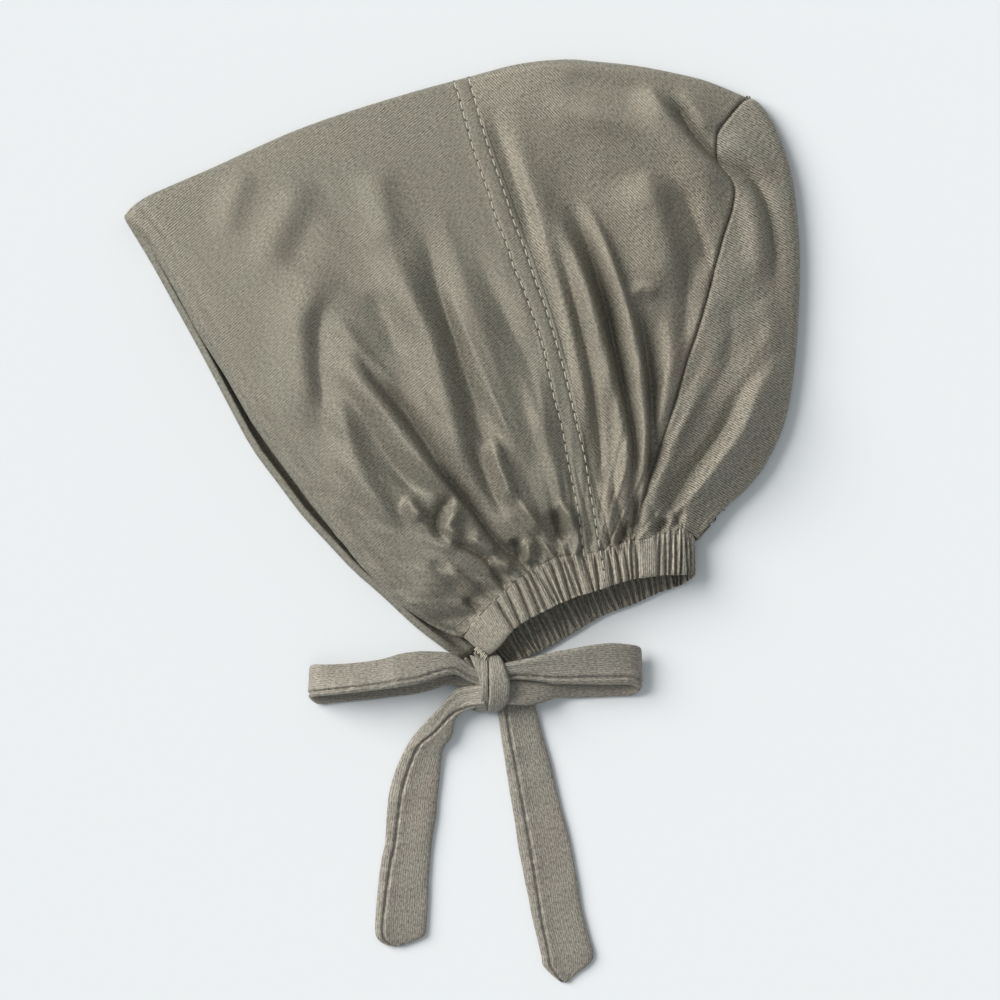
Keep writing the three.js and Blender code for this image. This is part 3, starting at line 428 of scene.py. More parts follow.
def upperHeight(places):
    toTop = nearest(topEdge, places)[0]
    toBack = nearest(backFold, places)[0]
    toFace = nearest(faceUpper, places)[0]
    toNeck, neckShare, _ = nearest(gatherUpper[:, :2], places)
    toEdge = np.minimum(toTop, toBack)
    roll = dome["foldHeight"] / 2
    rounded = np.sqrt(1 - (1 - np.minimum(toEdge / roll, 1)) ** 2)
    crownShare = ((1 - np.exp(-toTop / dome["topReach"])) * (1 - np.exp(-toBack / dome["backReach"]))
                  * smooth(dome["atFace"] + toFace / dome["faceReach"]))
    body = roll * (1 + rounded) + dome["rise"] * crownShare
    neckHeight = lineAt(gatherUpper, neckShare)[:, 2]
    flat = body + (neckHeight - body) * (1 - smooth(toNeck / dome["neckReach"]))
    calm = smooth(toEdge / dome["calmReach"])
    folds = foldRelief(places) * calm * smooth(dome["atNeck"] + toNeck / dome["atNeckReach"])

    # pleats rise out of the casing's rolls, and fewer of them run on into the cloth
    gathers = neckShare * gatherUpperLength
    band = np.interp(gathers, gatherUpperAlong, bandAt)
    near = rollDip(band, 0.0) * casing["rollDepth"][0] * np.exp(-toNeck / pleats["rollReach"])
    phase = gathers / pleats["pitch"] + pleats["wander"] * cloud(gathers, toNeck * 0.4, 14, 3)
    pinch = np.abs(np.sin(np.pi * phase)) ** pleats["sharp"]
    reach = pleats["reach"] * (1 + 0.5 * cloud(gathers, 0 * gathers, 9, 5))
    long = (pinch - 1) * pleats["depth"] * np.exp(-toNeck / reach) * smooth(toNeck / pleats["start"])
    pleated = (long - near) * smooth(toEdge / pleats["edgeReach"])

    # long soft ripples fan out from the neck
    away = places - place(ripples["centre"])
    turn = np.degrees(np.arctan2(away[:, 1], away[:, 0]))
    far = np.hypot(away[:, 0], away[:, 1])
    (wideTurn, fineTurn), (wideLength, fineLength) = ripples["turns"], ripples["lengths"]
    ripple = (cloud(turn * wideTurn, far * wideLength, 6, 11)
              + ripples["fineShare"] * cloud(turn * fineTurn, far * fineLength, 6, 12))
    ripple = ripple * ripples["height"] * calm * np.clip(1.4 - far / ripples["reach"], 0.25, 1)

    # twin rows sink a little, the cloth between them lies flat, and the back seam is a groove
    left = nearest(twinLines["left"], places)[0]
    right = nearest(twinLines["right"], places)[0]
    between = smooth(1 - np.maximum(left + right - seams["twinGauge"], 0) / seams["twinFade"])
    sunk = seams["twinSunk"] * (bell(left, seams["twinWidth"]) + bell(right, seams["twinWidth"]))
    groove = seams["depth"] * bell(nearest(backSeamUpper, places)[0], seams["width"], seams["sharp"])
    return (flat + (folds + ripple) * (1 - seams["twinCalm"] * between) + seams["twinLift"] * between
            - sunk - groove + pleated)


def lowerHeight(places):
    toEdge = np.minimum(nearest(topEdge, places)[0], nearest(backFold, places)[0])
    roll = dome["foldHeight"] / 2
    return roll * (1 - np.sqrt(1 - (1 - np.minimum(toEdge / roll, 1)) ** 2)) + dome["clearance"]


# Meshes

def makePiece(name, points, faces, uv, material, slot, node=None, cutFaces=0):
    mesh = bpy.data.meshes.new(name)
    mesh.from_pydata((points * mm).tolist(), [], faces)
    rounded = np.ones(len(mesh.polygons), bool)
    rounded[len(rounded) - cutFaces:] = False
    mesh.polygons.foreach_set("use_smooth", rounded)
    layer = mesh.uv_layers.new(name="cloth")
    corners = np.zeros(len(mesh.loops), np.int32)
    mesh.loops.foreach_get("vertex_index", corners)
    layer.data.foreach_set("uv", (uv[corners] * mm).astype(np.float32).ravel())
    mesh.materials.append(material)
    mesh.validate()
    mesh.update()
    piece = addObject(name, mesh)
    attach(piece, "root")
    if node:
        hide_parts(node)
    return piece


def quads(index):
    return np.stack([index[:-1, :-1], index[1:, :-1], index[1:, 1:], index[:-1, 1:]], -1).reshape(-1, 4)


# A closed shell of cloth from its outer grid and the thickness at each point; its first edge can
# have a rounded rim. The last faces of the list, as many as it says, are the plain cut edges.
def clothShell(outer, thick, uv, rimStart=0.0):
    n, m = outer.shape[:2]
    normal = unit(np.cross(np.gradient(outer, axis=0), np.gradient(outer, axis=1)))
    inner = outer - normal * thick[..., None]
    index = np.arange(2 * n * m).reshape(2, n, m)
    faces = [quads(index[0]), quads(index[1])[:, ::-1]]
    extra, extraUv, count = [], [], 2 * n * m

    def rim(at, flip, bulge=0.0):
        outerRow, innerRow, outerIndex, innerIndex = outer[at], inner[at], index[0][at], index[1][at]
        nonlocal count
        rings = [outerIndex]
        if bulge > 0:
            way = unit(outerRow - outer[1])
            for share in (0.2, 0.5, 0.8):
                spot = outerRow + (innerRow - outerRow) * share
                extra.append(spot + way * bulge * math.sin(math.pi * share))
                extraUv.append(uv[at])
                rings.append(np.arange(count, count + len(outerRow)))
                count += len(outerRow)
        rings.append(innerIndex)
        found = quads(np.stack(rings))
        faces.append(found[:, ::-1] if flip else found)

    rim(0, True, rimStart)
    smoothCount = sum(len(found) for found in faces)
    if rimStart == 0:
        smoothCount -= len(faces[-1])
    rim(-1, False)
    rim(np.s_[:, 0], False)
    rim(np.s_[:, -1], True)
    points = np.vstack([outer.reshape(-1, 3), inner.reshape(-1, 3)] + extra)
    allUv = np.vstack([uv.reshape(-1, 2), uv.reshape(-1, 2)] + extraUv)
    faces = np.vstack(faces)
    return points, faces.tolist(), allUv, len(faces) - smoothCount


# A flat grid between four border lines
def patch(lines, u, v):
    fold, far = (lineAt(line, u)[:, :2] for line in lines[:2])
    start, end = (lineAt(line, v)[:, :2] for line in lines[2:])
    uu, vv = u[:, None, None], v[None, :, None]
    return ((1 - vv) * fold[:, None] + vv * far[:, None] + (1 - uu) * start[None] + uu * end[None]
            - (1 - uu) * (1 - vv) * fold[0] - uu * (1 - vv) * fold[-1]
            - (1 - uu) * vv * far[0] - uu * vv * far[-1])


foldBunching = 0.35               # grid rows lie closer round the fold with a higher value


def rowShares(count):
    s = np.linspace(1, 0, count, endpoint=False)
    atFold = (1 + foldBunching) * s * s / (s + foldBunching)
    return (atFold + smooth(s)) / 2


# A panel of cloth folded over the head, with a hem that curls down over the one below it
def panel(part, upper, lower, columns, upperRows, lowerRows, slot, hem=None, overlap=0.0):
    thick = panels["thick"]
    vUp = rowShares(upperRows)
    vLow = rowShares(lowerRows)[::-1]
    high = patch(upper, columns, vUp)
    fold = lineAt(upper[0], columns)[:, None, :2]
    low = patch(lower, columns, vLow)
    flat = np.concatenate([high, fold, low], axis=1)
    z = np.concatenate([
        upperHeight(high.reshape(-1, 2)).reshape(high.shape[:2]),
        np.full((len(columns), 1), dome["foldHeight"] / 2),
        lowerHeight(low.reshape(-1, 2)).reshape(low.shape[:2])], axis=1)
    outer = np.concatenate([flat, z[..., None]], axis=2)
    thickness = np.full(z.shape, float(thick))
    if hem:
        step = np.linalg.norm(np.diff(outer, axis=0, prepend=outer[:1]), axis=2)
        fromEdge = np.cumsum(step, axis=0)
        thickness += (hem["thick"] - thick) * (1 - smooth((fromEdge - hem["width"]) / hem["fade"]))
        onTop = np.arange(z.shape[1])[None, :] <= upperRows
        line = hem["sunk"] * bell(fromEdge - hem["sunkAt"], hem["sunkWidth"])
        edgeHeights = z[0, :upperRows]
        above = np.interp(vLow, vUp[::-1], edgeHeights[::-1])
        atEdge = np.concatenate([edgeHeights, z[0, upperRows:upperRows + 1], above])
        opened = smooth((atEdge - hem["openFrom"]) / hem["openOver"])
        tuck = hem["roll"] * bell(fromEdge, hem["rollWidth"]) * opened
        outer[..., 2] -= (line + tuck) * onTop
        ridge = hem["ridge"] * bell(fromEdge - hem["ridgeAt"], hem["ridgeWidth"]) * opened
        thickness += ridge * ~onTop
    if overlap:
        under = outer[0] + unit(outer[0] - outer[1]) * overlap - [0, 0, panels["overlapDown"]]
        outer = np.concatenate([under[None], outer])
        flat = outer[..., :2]
        thickness = np.concatenate([thickness[:1], thickness])
    turn = math.radians(panels["knitTurns"][part])
    uv = np.stack([flat[..., 0] * math.cos(turn) + flat[..., 1] * math.sin(turn),
                   flat[..., 1] * math.cos(turn) - flat[..., 0] * math.sin(turn)], -1)
    points, faces, uv, cut = clothShell(outer, thickness, uv, hem["thick"] / 2 if hem else 0)
    return makePiece(part + "_cloth", points, faces, uv, jersey[part], slot, part + "_panel", cut)


# Tubes through rings of points, closed at both ends
def tubeMesh(rings, uv):
    n, m = rings.shape[:2]
    index = np.arange(n * m).reshape(n, m)
    around = np.concatenate([index, index[:, :1]], axis=1)
    faces = quads(around).tolist()
    faces += [[n * m, index[0, k], index[0, (k + 1) % m]] for k in range(m)]
    faces += [[n * m + 1, index[-1, (k + 1) % m], index[-1, k]] for k in range(m)]
    points = np.vstack([rings.reshape(-1, 3), rings[0].mean(0), rings[-1].mean(0)])
    allUv = np.vstack([uv.reshape(-1, 2), uv[0].mean(0), uv[-1].mean(0)])
    return points, [[int(i) for i in face] for face in faces], allUv


# Materials: one knit effect for all the jersey

def addGroup(name, inputs, outputs):
    tree = bpy.data.node_groups.new(name, "ShaderNodeTree")
    for label, kind, value in inputs:
        socket = tree.interface.new_socket(name=label, in_out="INPUT", socket_type=kind)
        socket.default_value = value
    for label, kind in outputs:
        tree.interface.new_socket(name=label, in_out="OUTPUT", socket_type=kind)
    return tree, tree.nodes.new("NodeGroupInput"), tree.nodes.new("NodeGroupOutput")


def newMaterial(name):
    material = bpy.data.materials.new(name)
    material.use_nodes = True
    return material, material.node_tree, material.node_tree.nodes["Principled BSDF"]


def wire(tree, source, target):
    tree.links.new(source, target)


def setSockets(node, values):
    for label, value in values.items():
        node.inputs[label].default_value = value


def clothMap(tree):
    node = tree.nodes.new("ShaderNodeUVMap")
    node.uv_map = "cloth"
    return node.outputs["UV"]


def sumNode(tree, operation, first, second, clamp=False):
    node = tree.nodes.new("ShaderNodeMath")
    node.operation = operation
    node.use_clamp = clamp
    for socket, value in zip(node.inputs, (first, second)):
        if isinstance(value, (int, float)):
            socket.default_value = value
        elif value is not None:
            wire(tree, value, socket)
    return node.outputs[0]


def noiseNode(tree, vector, scale, detail, rough=0.5):
    node = tree.nodes.new("ShaderNodeTexNoise")
    setSockets(node, {"Scale": scale, "Detail": detail, "Roughness": rough})
    wire(tree, vector, node.inputs["Vector"])
    return node.outputs["Fac"]


def scaledVector(tree, vector, scale):
    node = tree.nodes.new("ShaderNodeMapping")
    setSockets(node, {"Scale": scale})
    wire(tree, vector, node.inputs["Vector"])
    return node.outputs["Vector"]


# Sockets 0, 6 and 7 are this node's share and its two colours, output 2 the mixed colour
def mixColor(tree, share, first, second):
    node = tree.nodes.new("ShaderNodeMix")
    node.data_type = "RGBA"
    for number, value in ((0, share), (6, first), (7, second)):
        if isinstance(value, float):
            node.inputs[number].default_value = value
        else:
            wire(tree, value, node.inputs[number])
    return node.outputs[2]


# The knit, in millimetres: loops, heather flecks, fuzz and slow drift of the hue
knit = {"wale": 0.94, "course": 0.8, "bend": 6, "wander": 1.2, "slant": 0.6, "speckle": 0.72,
        "speckleLong": 2.2, "fuzz": 0.45, "drift": 9, "patch": 42,
        "courseShare": 0.35, "tintShare": 0.6, "roughness": 0.31, "roughSpread": 0.2}


def jerseyKnit():
    tree, inside, outside = addGroup(
        "jerseyKnit",
        [("Yarn", "NodeSocketColor", (0.246, 0.235, 0.191, 1)),
         ("Cool Yarn", "NodeSocketColor", (0.235, 0.235, 0.2, 1)),
         ("Warm Yarn", "NodeSocketColor", (0.255, 0.232, 0.19, 1)),
         ("Heather", "NodeSocketFloat", 0.2), ("Ribs", "NodeSocketFloat", 1.0)],
        [("Color", "NodeSocketColor"), ("Roughness", "NodeSocketFloat"), ("Height", "NodeSocketFloat")])

    def step(operation):
        return lambda first, second=None, clamp=False: sumNode(tree, operation, first, second, clamp)

    times, plus, minus, sine, size = map(step, ("MULTIPLY", "ADD", "SUBTRACT", "SINE", "ABSOLUTE"))
    spot = clothMap(tree)
    split = tree.nodes.new("ShaderNodeSeparateXYZ")
    wire(tree, spot, split.inputs[0])

    # wales: rows of loops a little under a millimetre wide
    bend = noiseNode(tree, spot, perMetre / knit["bend"], 2)
    u = plus(times(split.outputs["X"], perMetre / knit["wale"]), times(bend, knit["wander"]))
    wale = size(sine(times(u, math.pi)))
    v = times(split.outputs["Y"], perMetre / knit["course"])
    course = size(sine(times(plus(v, times(wale, knit["slant"])), math.pi)))
    loops = times(wale, plus(times(course, knit["courseShare"]), 1 - knit["courseShare"]))

    # heather: short lighter and darker flecks along the wales
    fleckScale = perMetre / knit["speckle"]
    stretched = scaledVector(tree, spot, (fleckScale, fleckScale / knit["speckleLong"], 1))
    flecks = noiseNode(tree, stretched, 1, 2, 0.6)
    fuzz = noiseNode(tree, spot, perMetre / knit["fuzz"], 2, 0.6)
    speck = minus(plus(times(flecks, 1.5), fuzz), 1.25)

    # hue that drifts between cooler and warmer yarn
    drift = noiseNode(tree, spot, perMetre / knit["drift"], 3, 0.55)
    patches = noiseNode(tree, spot, perMetre / knit["patch"], 2)
    hue = minus(plus(times(drift, 1.6), times(patches, 1.4)), 1.0, clamp=True)
    tint = mixColor(tree, hue, inside.outputs["Cool Yarn"], inside.outputs["Warm Yarn"])
    base = mixColor(tree, knit["tintShare"], inside.outputs["Yarn"], tint)

    # the colour follows the knit's loops, lighter on their tops and darker between them: painted shade of
    # the knit's relief, beside the bump from the same loops
    loopShade = times(minus(loops, 0.55), inside.outputs["Ribs"])
    light = plus(plus(times(speck, inside.outputs["Heather"]), loopShade), 1.0)
    scaled = tree.nodes.new("ShaderNodeVectorMath")
    scaled.operation = "SCALE"
    wire(tree, base, scaled.inputs[0])
    wire(tree, light, scaled.inputs["Scale"])
    wire(tree, scaled.outputs[0], outside.inputs["Color"])
    rough = plus(times(flecks, knit["roughSpread"]), knit["roughness"])
    wire(tree, rough, outside.inputs["Roughness"])
    wire(tree, plus(times(loops, inside.outputs["Ribs"]), times(fuzz, 0.5)), outside.inputs["Height"])
    return tree


jerseyGroup = jerseyKnit()
jerseyFinish = {"IOR": 1.6, "Specular Tint": (1, 0.93, 0.76, 1), "Sheen Weight": 0.05,
                "Sheen Roughness": 0.4, "Sheen Tint": (0.9, 0.88, 0.8, 1)}
jerseyBump = {"Strength": 0.8, "Distance": 0.3 * mm}
coolYarn, warmYarn = (0.93, 1.01, 1.02), (1.06, 0.985, 0.99)
# Colour, heather, ribs and gloss of the jersey on each part. The parts are one fabric. Each colour is set
# lighter or darker to give the tone that part shows under the studio light, so these colours hold painted
# light and painted shade: the front is darkened against the key on its slope, the middle is lightened for
# its nap, and the back and casing are lightened against the shade of their folds and rolls.
jerseys = {
    "front": ((0.177, 0.166, 0.132), 1.8, 0.65, 0.65),
    "middle": ((0.194, 0.177, 0.141), 2.0, 0.8, 0.8),
    "back": ((0.25, 0.231, 0.187), 1.7, 1.0, 0.4),
    "casing": ((0.305, 0.281, 0.229), 1.4, 0.6, 0.35),
    "tie": ((0.262, 0.243, 0.205), 1.4, 0.35, 0.35),
}
# hole is the near-black colour of small blobs set at each needle hole: painted shadow of the pit where the
# thread dives into the cloth
thread = {"color": (0.62, 0.59, 0.47), "hole": (0.03, 0.027, 0.022), "twist": 900, "wobble": 1.5,
          "shade": 0.72, "roughness": 0.6}


def jerseyMaterial(name, color, heather, ribs, gloss):
    material, tree, shader = newMaterial(name)
    group = tree.nodes.new("ShaderNodeGroup")
    group.node_tree = jerseyGroup
    cool, warm = ([c * k for c, k in zip(color, tone)] for tone in (coolYarn, warmYarn))
    setSockets(group, {"Yarn": (*color, 1), "Cool Yarn": (*cool, 1), "Warm Yarn": (*warm, 1),
                       "Heather": heather, "Ribs": ribs})
    wire(tree, group.outputs["Color"], shader.inputs["Base Color"])
    wire(tree, group.outputs["Roughness"], shader.inputs["Roughness"])
    raised = tree.nodes.new("ShaderNodeBump")
    setSockets(raised, jerseyBump)
    wire(tree, group.outputs["Height"], raised.inputs["Height"])
    wire(tree, raised.outputs["Normal"], shader.inputs["Normal"])
    setSockets(shader, {**jerseyFinish, "Specular IOR Level": gloss})
    return material


def threadMaterial(name, color):
    material, tree, shader = newMaterial(name)
    twist = tree.nodes.new("ShaderNodeTexWave")
    setSockets(twist, {"Scale": thread["twist"], "Distortion": thread["wobble"]})
    wire(tree, clothMap(tree), twist.inputs["Vector"])
    # the twist's grooves darken the thread by its shade share: painted shade along the twist
    ramp = tree.nodes.new("ShaderNodeValToRGB")
    ramp.color_ramp.elements[0].color = (*[c * thread["shade"] for c in color], 1)
    ramp.color_ramp.elements[1].color = (*color, 1)
    wire(tree, twist.outputs["Fac"], ramp.inputs["Fac"])
    wire(tree, ramp.outputs["Color"], shader.inputs["Base Color"])
    setSockets(shader, {"Roughness": thread["roughness"]})
    return material


jersey = {part: jerseyMaterial(part + "Jersey", *values) for part, values in jerseys.items()}
threadLook = threadMaterial("threadLook", thread["color"])
holeShadowLook = threadMaterial("holeShadowLook", thread["hole"])
print("materials made")

# Cloth panels

# Borders of each panel's upper and lower layer: fold, opposite side, start and end
frontWays = (
    (topFront, gatherStretch(0, casingEnds["frontSeamUpper"]), faceUpper, frontSeamUpper),
    (topFront, gatherStretch(casingEnds["last"], casingEnds["frontSeamLower"]), faceLower,
     frontSeamLower))
middleWays = (
    (crown, gatherStretch(casingEnds["frontSeamUpper"], casingEnds["backSeamUpper"]),
     frontSeamUpper, backSeamUpper),
    (crown, gatherStretch(casingEnds["frontSeamLower"], casingEnds["backSeamLower"]),
     frontSeamLower, backSeamLower))
crownTip = np.repeat(backFold[:1], 2, axis=0) + [[0, 0], [0, -1e-3]]
backWays = tuple((backFold, seam, crownTip, gatherStretch(casingEnds["nape"], casingEnds[end]))
                 for seam, end in ((backSeamUpper, "backSeamUpper"), (backSeamLower, "backSeamLower")))
panels = {
    "edgeColumns": 12, "edgeShare": 0.045, "frontColumns": 118, "twinColumns": 28, "twinShare": 0.92,
    "frontRows": 250, "lowerRows": 40, "middleColumns": 126, "seamColumns": 14, "middleRows": 250,
    "backColumns": 230, "backRows": 84, "backLowerRows": 24, "seamShare": 0.96, "thick": 0.9,
    "overlap": 0.9, "overlapDown": 0.1, "knitTurns": {"front": 130, "middle": 45, "back": 60},
}
hem = {"thick": 2.0, "width": 7.5, "fade": 1.5, "sunk": 0.3, "sunkAt": 8.3, "sunkWidth": 1.1,
       "roll": 3.0, "rollWidth": 1.7, "ridge": 4.4, "ridgeAt": 2.0, "ridgeWidth": 1.7,
       "openFrom": 6.5, "openOver": 5}

frontColumns = np.concatenate([
    np.linspace(0, panels["edgeShare"], panels["edgeColumns"], endpoint=False),
    np.linspace(panels["edgeShare"], panels["twinShare"], panels["frontColumns"], endpoint=False),
    np.linspace(panels["twinShare"], 1, panels["twinColumns"])])
middleColumns = np.concatenate([
    np.linspace(0, panels["seamShare"], panels["middleColumns"], endpoint=False),
    np.linspace(panels["seamShare"], 1, panels["seamColumns"])])
frontPanel = panel("front", *frontWays, frontColumns, panels["frontRows"], panels["lowerRows"],
                   "jersey", hem)
print("front panel made")
middlePanel = panel("middle", *middleWays, middleColumns, panels["middleRows"], panels["lowerRows"],
                    "jersey", overlap=panels["overlap"])
print("middle panel made")
backPanel = panel("back", *backWays, np.linspace(0, 1, panels["backColumns"]), panels["backRows"],
                  panels["backLowerRows"], "jersey_back")
print("back panel made")

# The casing's mesh: outer face, rounded free edge and inner face

def casingBand():
    count, top, free, along = bandCount, bandTop, bandFree, bandAlong
    drop = unit(free - top)
    outward = unit(np.cross(drop, np.gradient(top, axis=0)))
    # 0 on the upper side, 1 on the side below
    under = smooth((bandStation - casingEnds["nape"]) / casing["turnOver"])
    outerDepth, innerDepth = (casing[key][0] + (casing[key][1] - casing[key][0]) * under
                              for key in ("rollDepth", "innerDepth"))
    topDip = rollDip(along, 0.0)
    edgeDip = rollDip(along, 1) * casing["edgeDip"]
    # the cloth's folds run a little way into the band's upper side
    smoothTop = top[:, 2] - topDip * casing["rollDepth"][0]
    most = casing["runInMost"]
    runIn = np.clip(upperHeight(top[:, :2]) - smoothTop, -most, most) * (1 - under)
    rings, uvs = [], []

    def addRing(places, mapDepth):
        rings.append(places)
        uvs.append(np.stack([along, np.full(count, mapDepth)], -1))

    def across(depth, dip):
        short = edgeDip * smooth((depth - 1 + casing["edgeShare"]) / casing["edgeShare"])
        return top + (free - top) * depth - drop * short[:, None] - outward * dip[:, None]

    tucked = (top - drop * casing["tuckUnder"]
              - outward * (topDip * outerDepth + casing["tuckDown"])[:, None])
    tucked[:, 2] += runIn
    addRing(tucked, -0.5)
    depths = np.linspace(0, 1, casing["depthRows"])
    for depth in depths:                     # outer face
        dip = rollDip(along, depth, slit=casing["slit"] * smooth(depth * 3)) * outerDepth
        spot = across(depth, dip + casing["endLift"] * bell(1 - depth, 0.05))
        spot[:, 2] += runIn * (1 - depth) ** 3
        addRing(spot, depth * casing["mapDepth"])
    for depth in casing["edgeRings"]:        # rounded free edge
        bulge = casing["edgeBulge"] * math.sin(math.pi * depth)
        addRing(free + drop * (bulge - edgeDip)[:, None] - outward * casing["thick"] * depth,
                casing["mapDepth"] + 0.5)
    for depth in depths[::-1]:               # inner face
        dip = rollDip(along, depth, casing["innerShift"], 33, casing["slit"]) * innerDepth
        addRing(across(depth, casing["thick"] - dip), depth * casing["mapDepth"])
    rings = np.stack(rings, 1)
    rings[..., 2] = np.maximum(rings[..., 2], lowest)
    points, faces, uv = tubeMesh(rings, np.stack(uvs, 1))
    return makePiece("casing_cloth", points, faces, uv, jersey["casing"], "jersey_gathered", "neck_casing")


neckCasing = casingBand()
print("neck casing made")

# Ties: flat tubes between two traced edges. Rows are: one edge, the other edge, the middle's
# height and the thickness.

ties = {
    "left_tail": [
        (484, 684, 487, 706, 9.0, 3.6), (472, 685, 480, 707, 7.8, 3.4), (455, 690, 468, 709, 6.4, 3.2),
        (438, 709, 456, 718, 5.0, 3.0), (420.5, 727.6, 451.5, 737, 3.6, 2.8),
        (410, 741, 443, 749, 2.6, 2.6), (400, 760, 441, 764, 1.9, 2.5), (390.5, 786, 438.5, 790, 1.5, 2.4),
        (386.5, 815, 436, 817, 1.4, 2.4), (385, 842, 431.5, 846, 1.4, 2.4),
        (381, 864, 429.5, 868, 1.4, 2.4), (376.6, 901, 428, 904, 1.5, 2.5),
        (375, 929.5, 426.4, 926, 1.5, 2.6), (378, 939.5, 425.2, 934.8, 1.4, 2.3),
        (386.5, 944.7, 417, 939.8, 1.2, 1.7), (394.8, 946, 407, 943.8, 1.0, 1.0)],
    "right_tail": [
        (495, 697, 533, 694, 3.4, 2.6), (498, 712, 536, 709, 2.1, 2.5), (502, 743, 544, 740, 1.5, 2.4),
        (507, 774, 552, 768, 1.4, 2.4), (513, 812, 560, 803, 1.4, 2.4), (519, 850, 570, 842, 1.4, 2.4),
        (526, 886, 577, 880, 1.4, 2.4), (532, 916, 582, 910, 1.4, 2.5),
        (537.5, 940, 588, 934, 1.4, 2.5), (541.6, 958, 593, 951, 1.4, 2.5),
        (542.8, 965, 592.2, 959.5, 1.3, 2.2), (550.5, 973.5, 586, 966.5, 1.2, 1.8),
        (557, 979, 576.5, 973.2, 1.1, 1.4), (562, 982.4, 568.5, 980.8, 0.9, 0.9)],
    "left_loop": [
        (484, 688, 486, 672, 8.2, 3.0), (470, 681, 472, 667, 8.4, 3.0), (456, 674, 460, 658, 9.0, 3.0),
        (445, 675, 447, 652.4, 10.0, 2.9), (432, 679, 432, 650.9, 11.0, 2.8),
        (419, 683, 418, 650.8, 11.8, 2.6), (403, 685.4, 402, 653.2, 12.2, 2.5),
        (380, 688.8, 379, 659.2, 12.0, 2.4), (350, 692.2, 350, 662.8, 11.0, 2.4),
        (328, 694.8, 328, 664, 9.6, 2.4), (317, 696, 317, 664, 7.8, 2.4),
        (312.2, 697.5, 312, 665, 5.0, 2.4), (313, 701, 313, 668, 3.2, 2.4),
        (319, 704, 319, 671, 1.9, 2.4), (335, 703, 335, 670, 1.4, 2.4), (357, 701, 357, 668, 1.3, 2.4),
        (392, 697, 391, 667, 1.3, 2.4), (415, 694, 414, 668, 1.4, 2.4), (434, 689, 434, 669, 2.0, 2.4),
        (447, 685, 446, 672, 3.0, 2.4), (462, 687, 460, 675, 3.8, 2.2), (482, 690, 480, 678, 4.4, 2.0)],
    "right_loop": [
        (500, 664, 503, 680, 9.4, 3.0), (511, 661, 514, 679, 9.4, 3.0), (530, 657, 533, 680, 9.6, 2.8),
        (555, 651, 557, 683, 10.0, 2.6), (588, 645, 590, 684, 10.2, 2.4),
        (610, 642.4, 612, 684, 9.6, 2.4), (626, 643.4, 627, 684, 8.4, 2.4),
        (636, 645, 635, 686, 6.6, 2.4), (639.6, 648, 638, 690, 4.6, 2.4), (636, 655, 635, 694, 2.6, 2.4),
        (626, 660, 626, 696, 1.5, 2.4), (600, 668, 600, 697, 1.3, 2.4), (575, 676, 573, 698, 1.6, 2.4),
        (560, 684, 556, 698, 3.6, 2.4), (545, 682, 541, 703, 5.8, 2.6), (528, 679, 526, 705, 7.2, 2.8),
        (511, 678, 509, 704, 7.8, 3.2), (500, 680, 498, 702, 7.6, 2.8)],
    "upper_root": [
        (470, 655, 484, 660, 8.6, 2.2), (473, 664, 484, 667, 9.4, 2.2), (478, 674, 488, 674, 10.2, 2.4),
        (481, 686, 490, 686, 10.4, 2.4)],
    "lower_root": [
        (474, 668, 483, 664, 1.4, 2.2), (479, 680, 490, 676, 1.4, 2.2), (488, 690, 497, 686, 1.6, 2.2)],
}
# How far each tie leans: share of its length, then how much higher its second edge lies
tiltWays = {
    "left_loop": [(0, 0), (0.12, -4), (0.25, -7), (0.42, -4), (0.5, 0), (1, 0)],
    "right_loop": [(0, -2), (0.15, -3), (0.35, -4), (0.45, -2), (0.5, 0), (0.8, 0), (0.9, 3), (1, 3)],
}
# Where each tie's seam runs: share of its length, then -1 at the first edge to 1 at the other
seamWays = {
    "left_tail": [(0, 0.9), (0.1, 0.8), (0.2, 0.1), (0.3, -0.4), (1, -0.72)],
    "right_tail": [(0, -0.55), (0.5, -0.52), (1, -0.72)],
    "left_loop": [(0, -0.3), (0.2, -0.7), (1, -0.7)],
    "right_loop": [(0, 0.4), (0.14, 0.6), (1, 0.66)],
}
# Each tie's node, seed of its unevenness and height of its lengthwise creases
tieTable = {"left_tail": ("left_tail", 41, 0.08), "right_tail": ("right_tail", 51, 0.1),
            "left_loop": ("left_loop", 61, 0.12), "right_loop": ("right_loop", 71, 0.1),
            "upper_root": ("upper_tie_root", 81, 0.06), "lower_root": ("lower_tie_root", 91, 0)}
tieDetail = {"top": 52, "bottom": 14, "stepsPerRow": 9, "edge": 7, "spacing": 0.8,
             "seamDepth": 1.3, "seamWidth": 0.6, "pucker": 0.35, "puckerPitch": 2.4,
             "puckerWidth": 2.2, "wave": 0.5, "wavePitch": 9, "plump": 0.5, "plumpWidth": 3.2,
             "creaseTurn": 1.9, "creasePitch": 12, "creaseFrom": 17, "creaseOver": 9,
             "ripple": 0.12, "ripplePitch": 7}


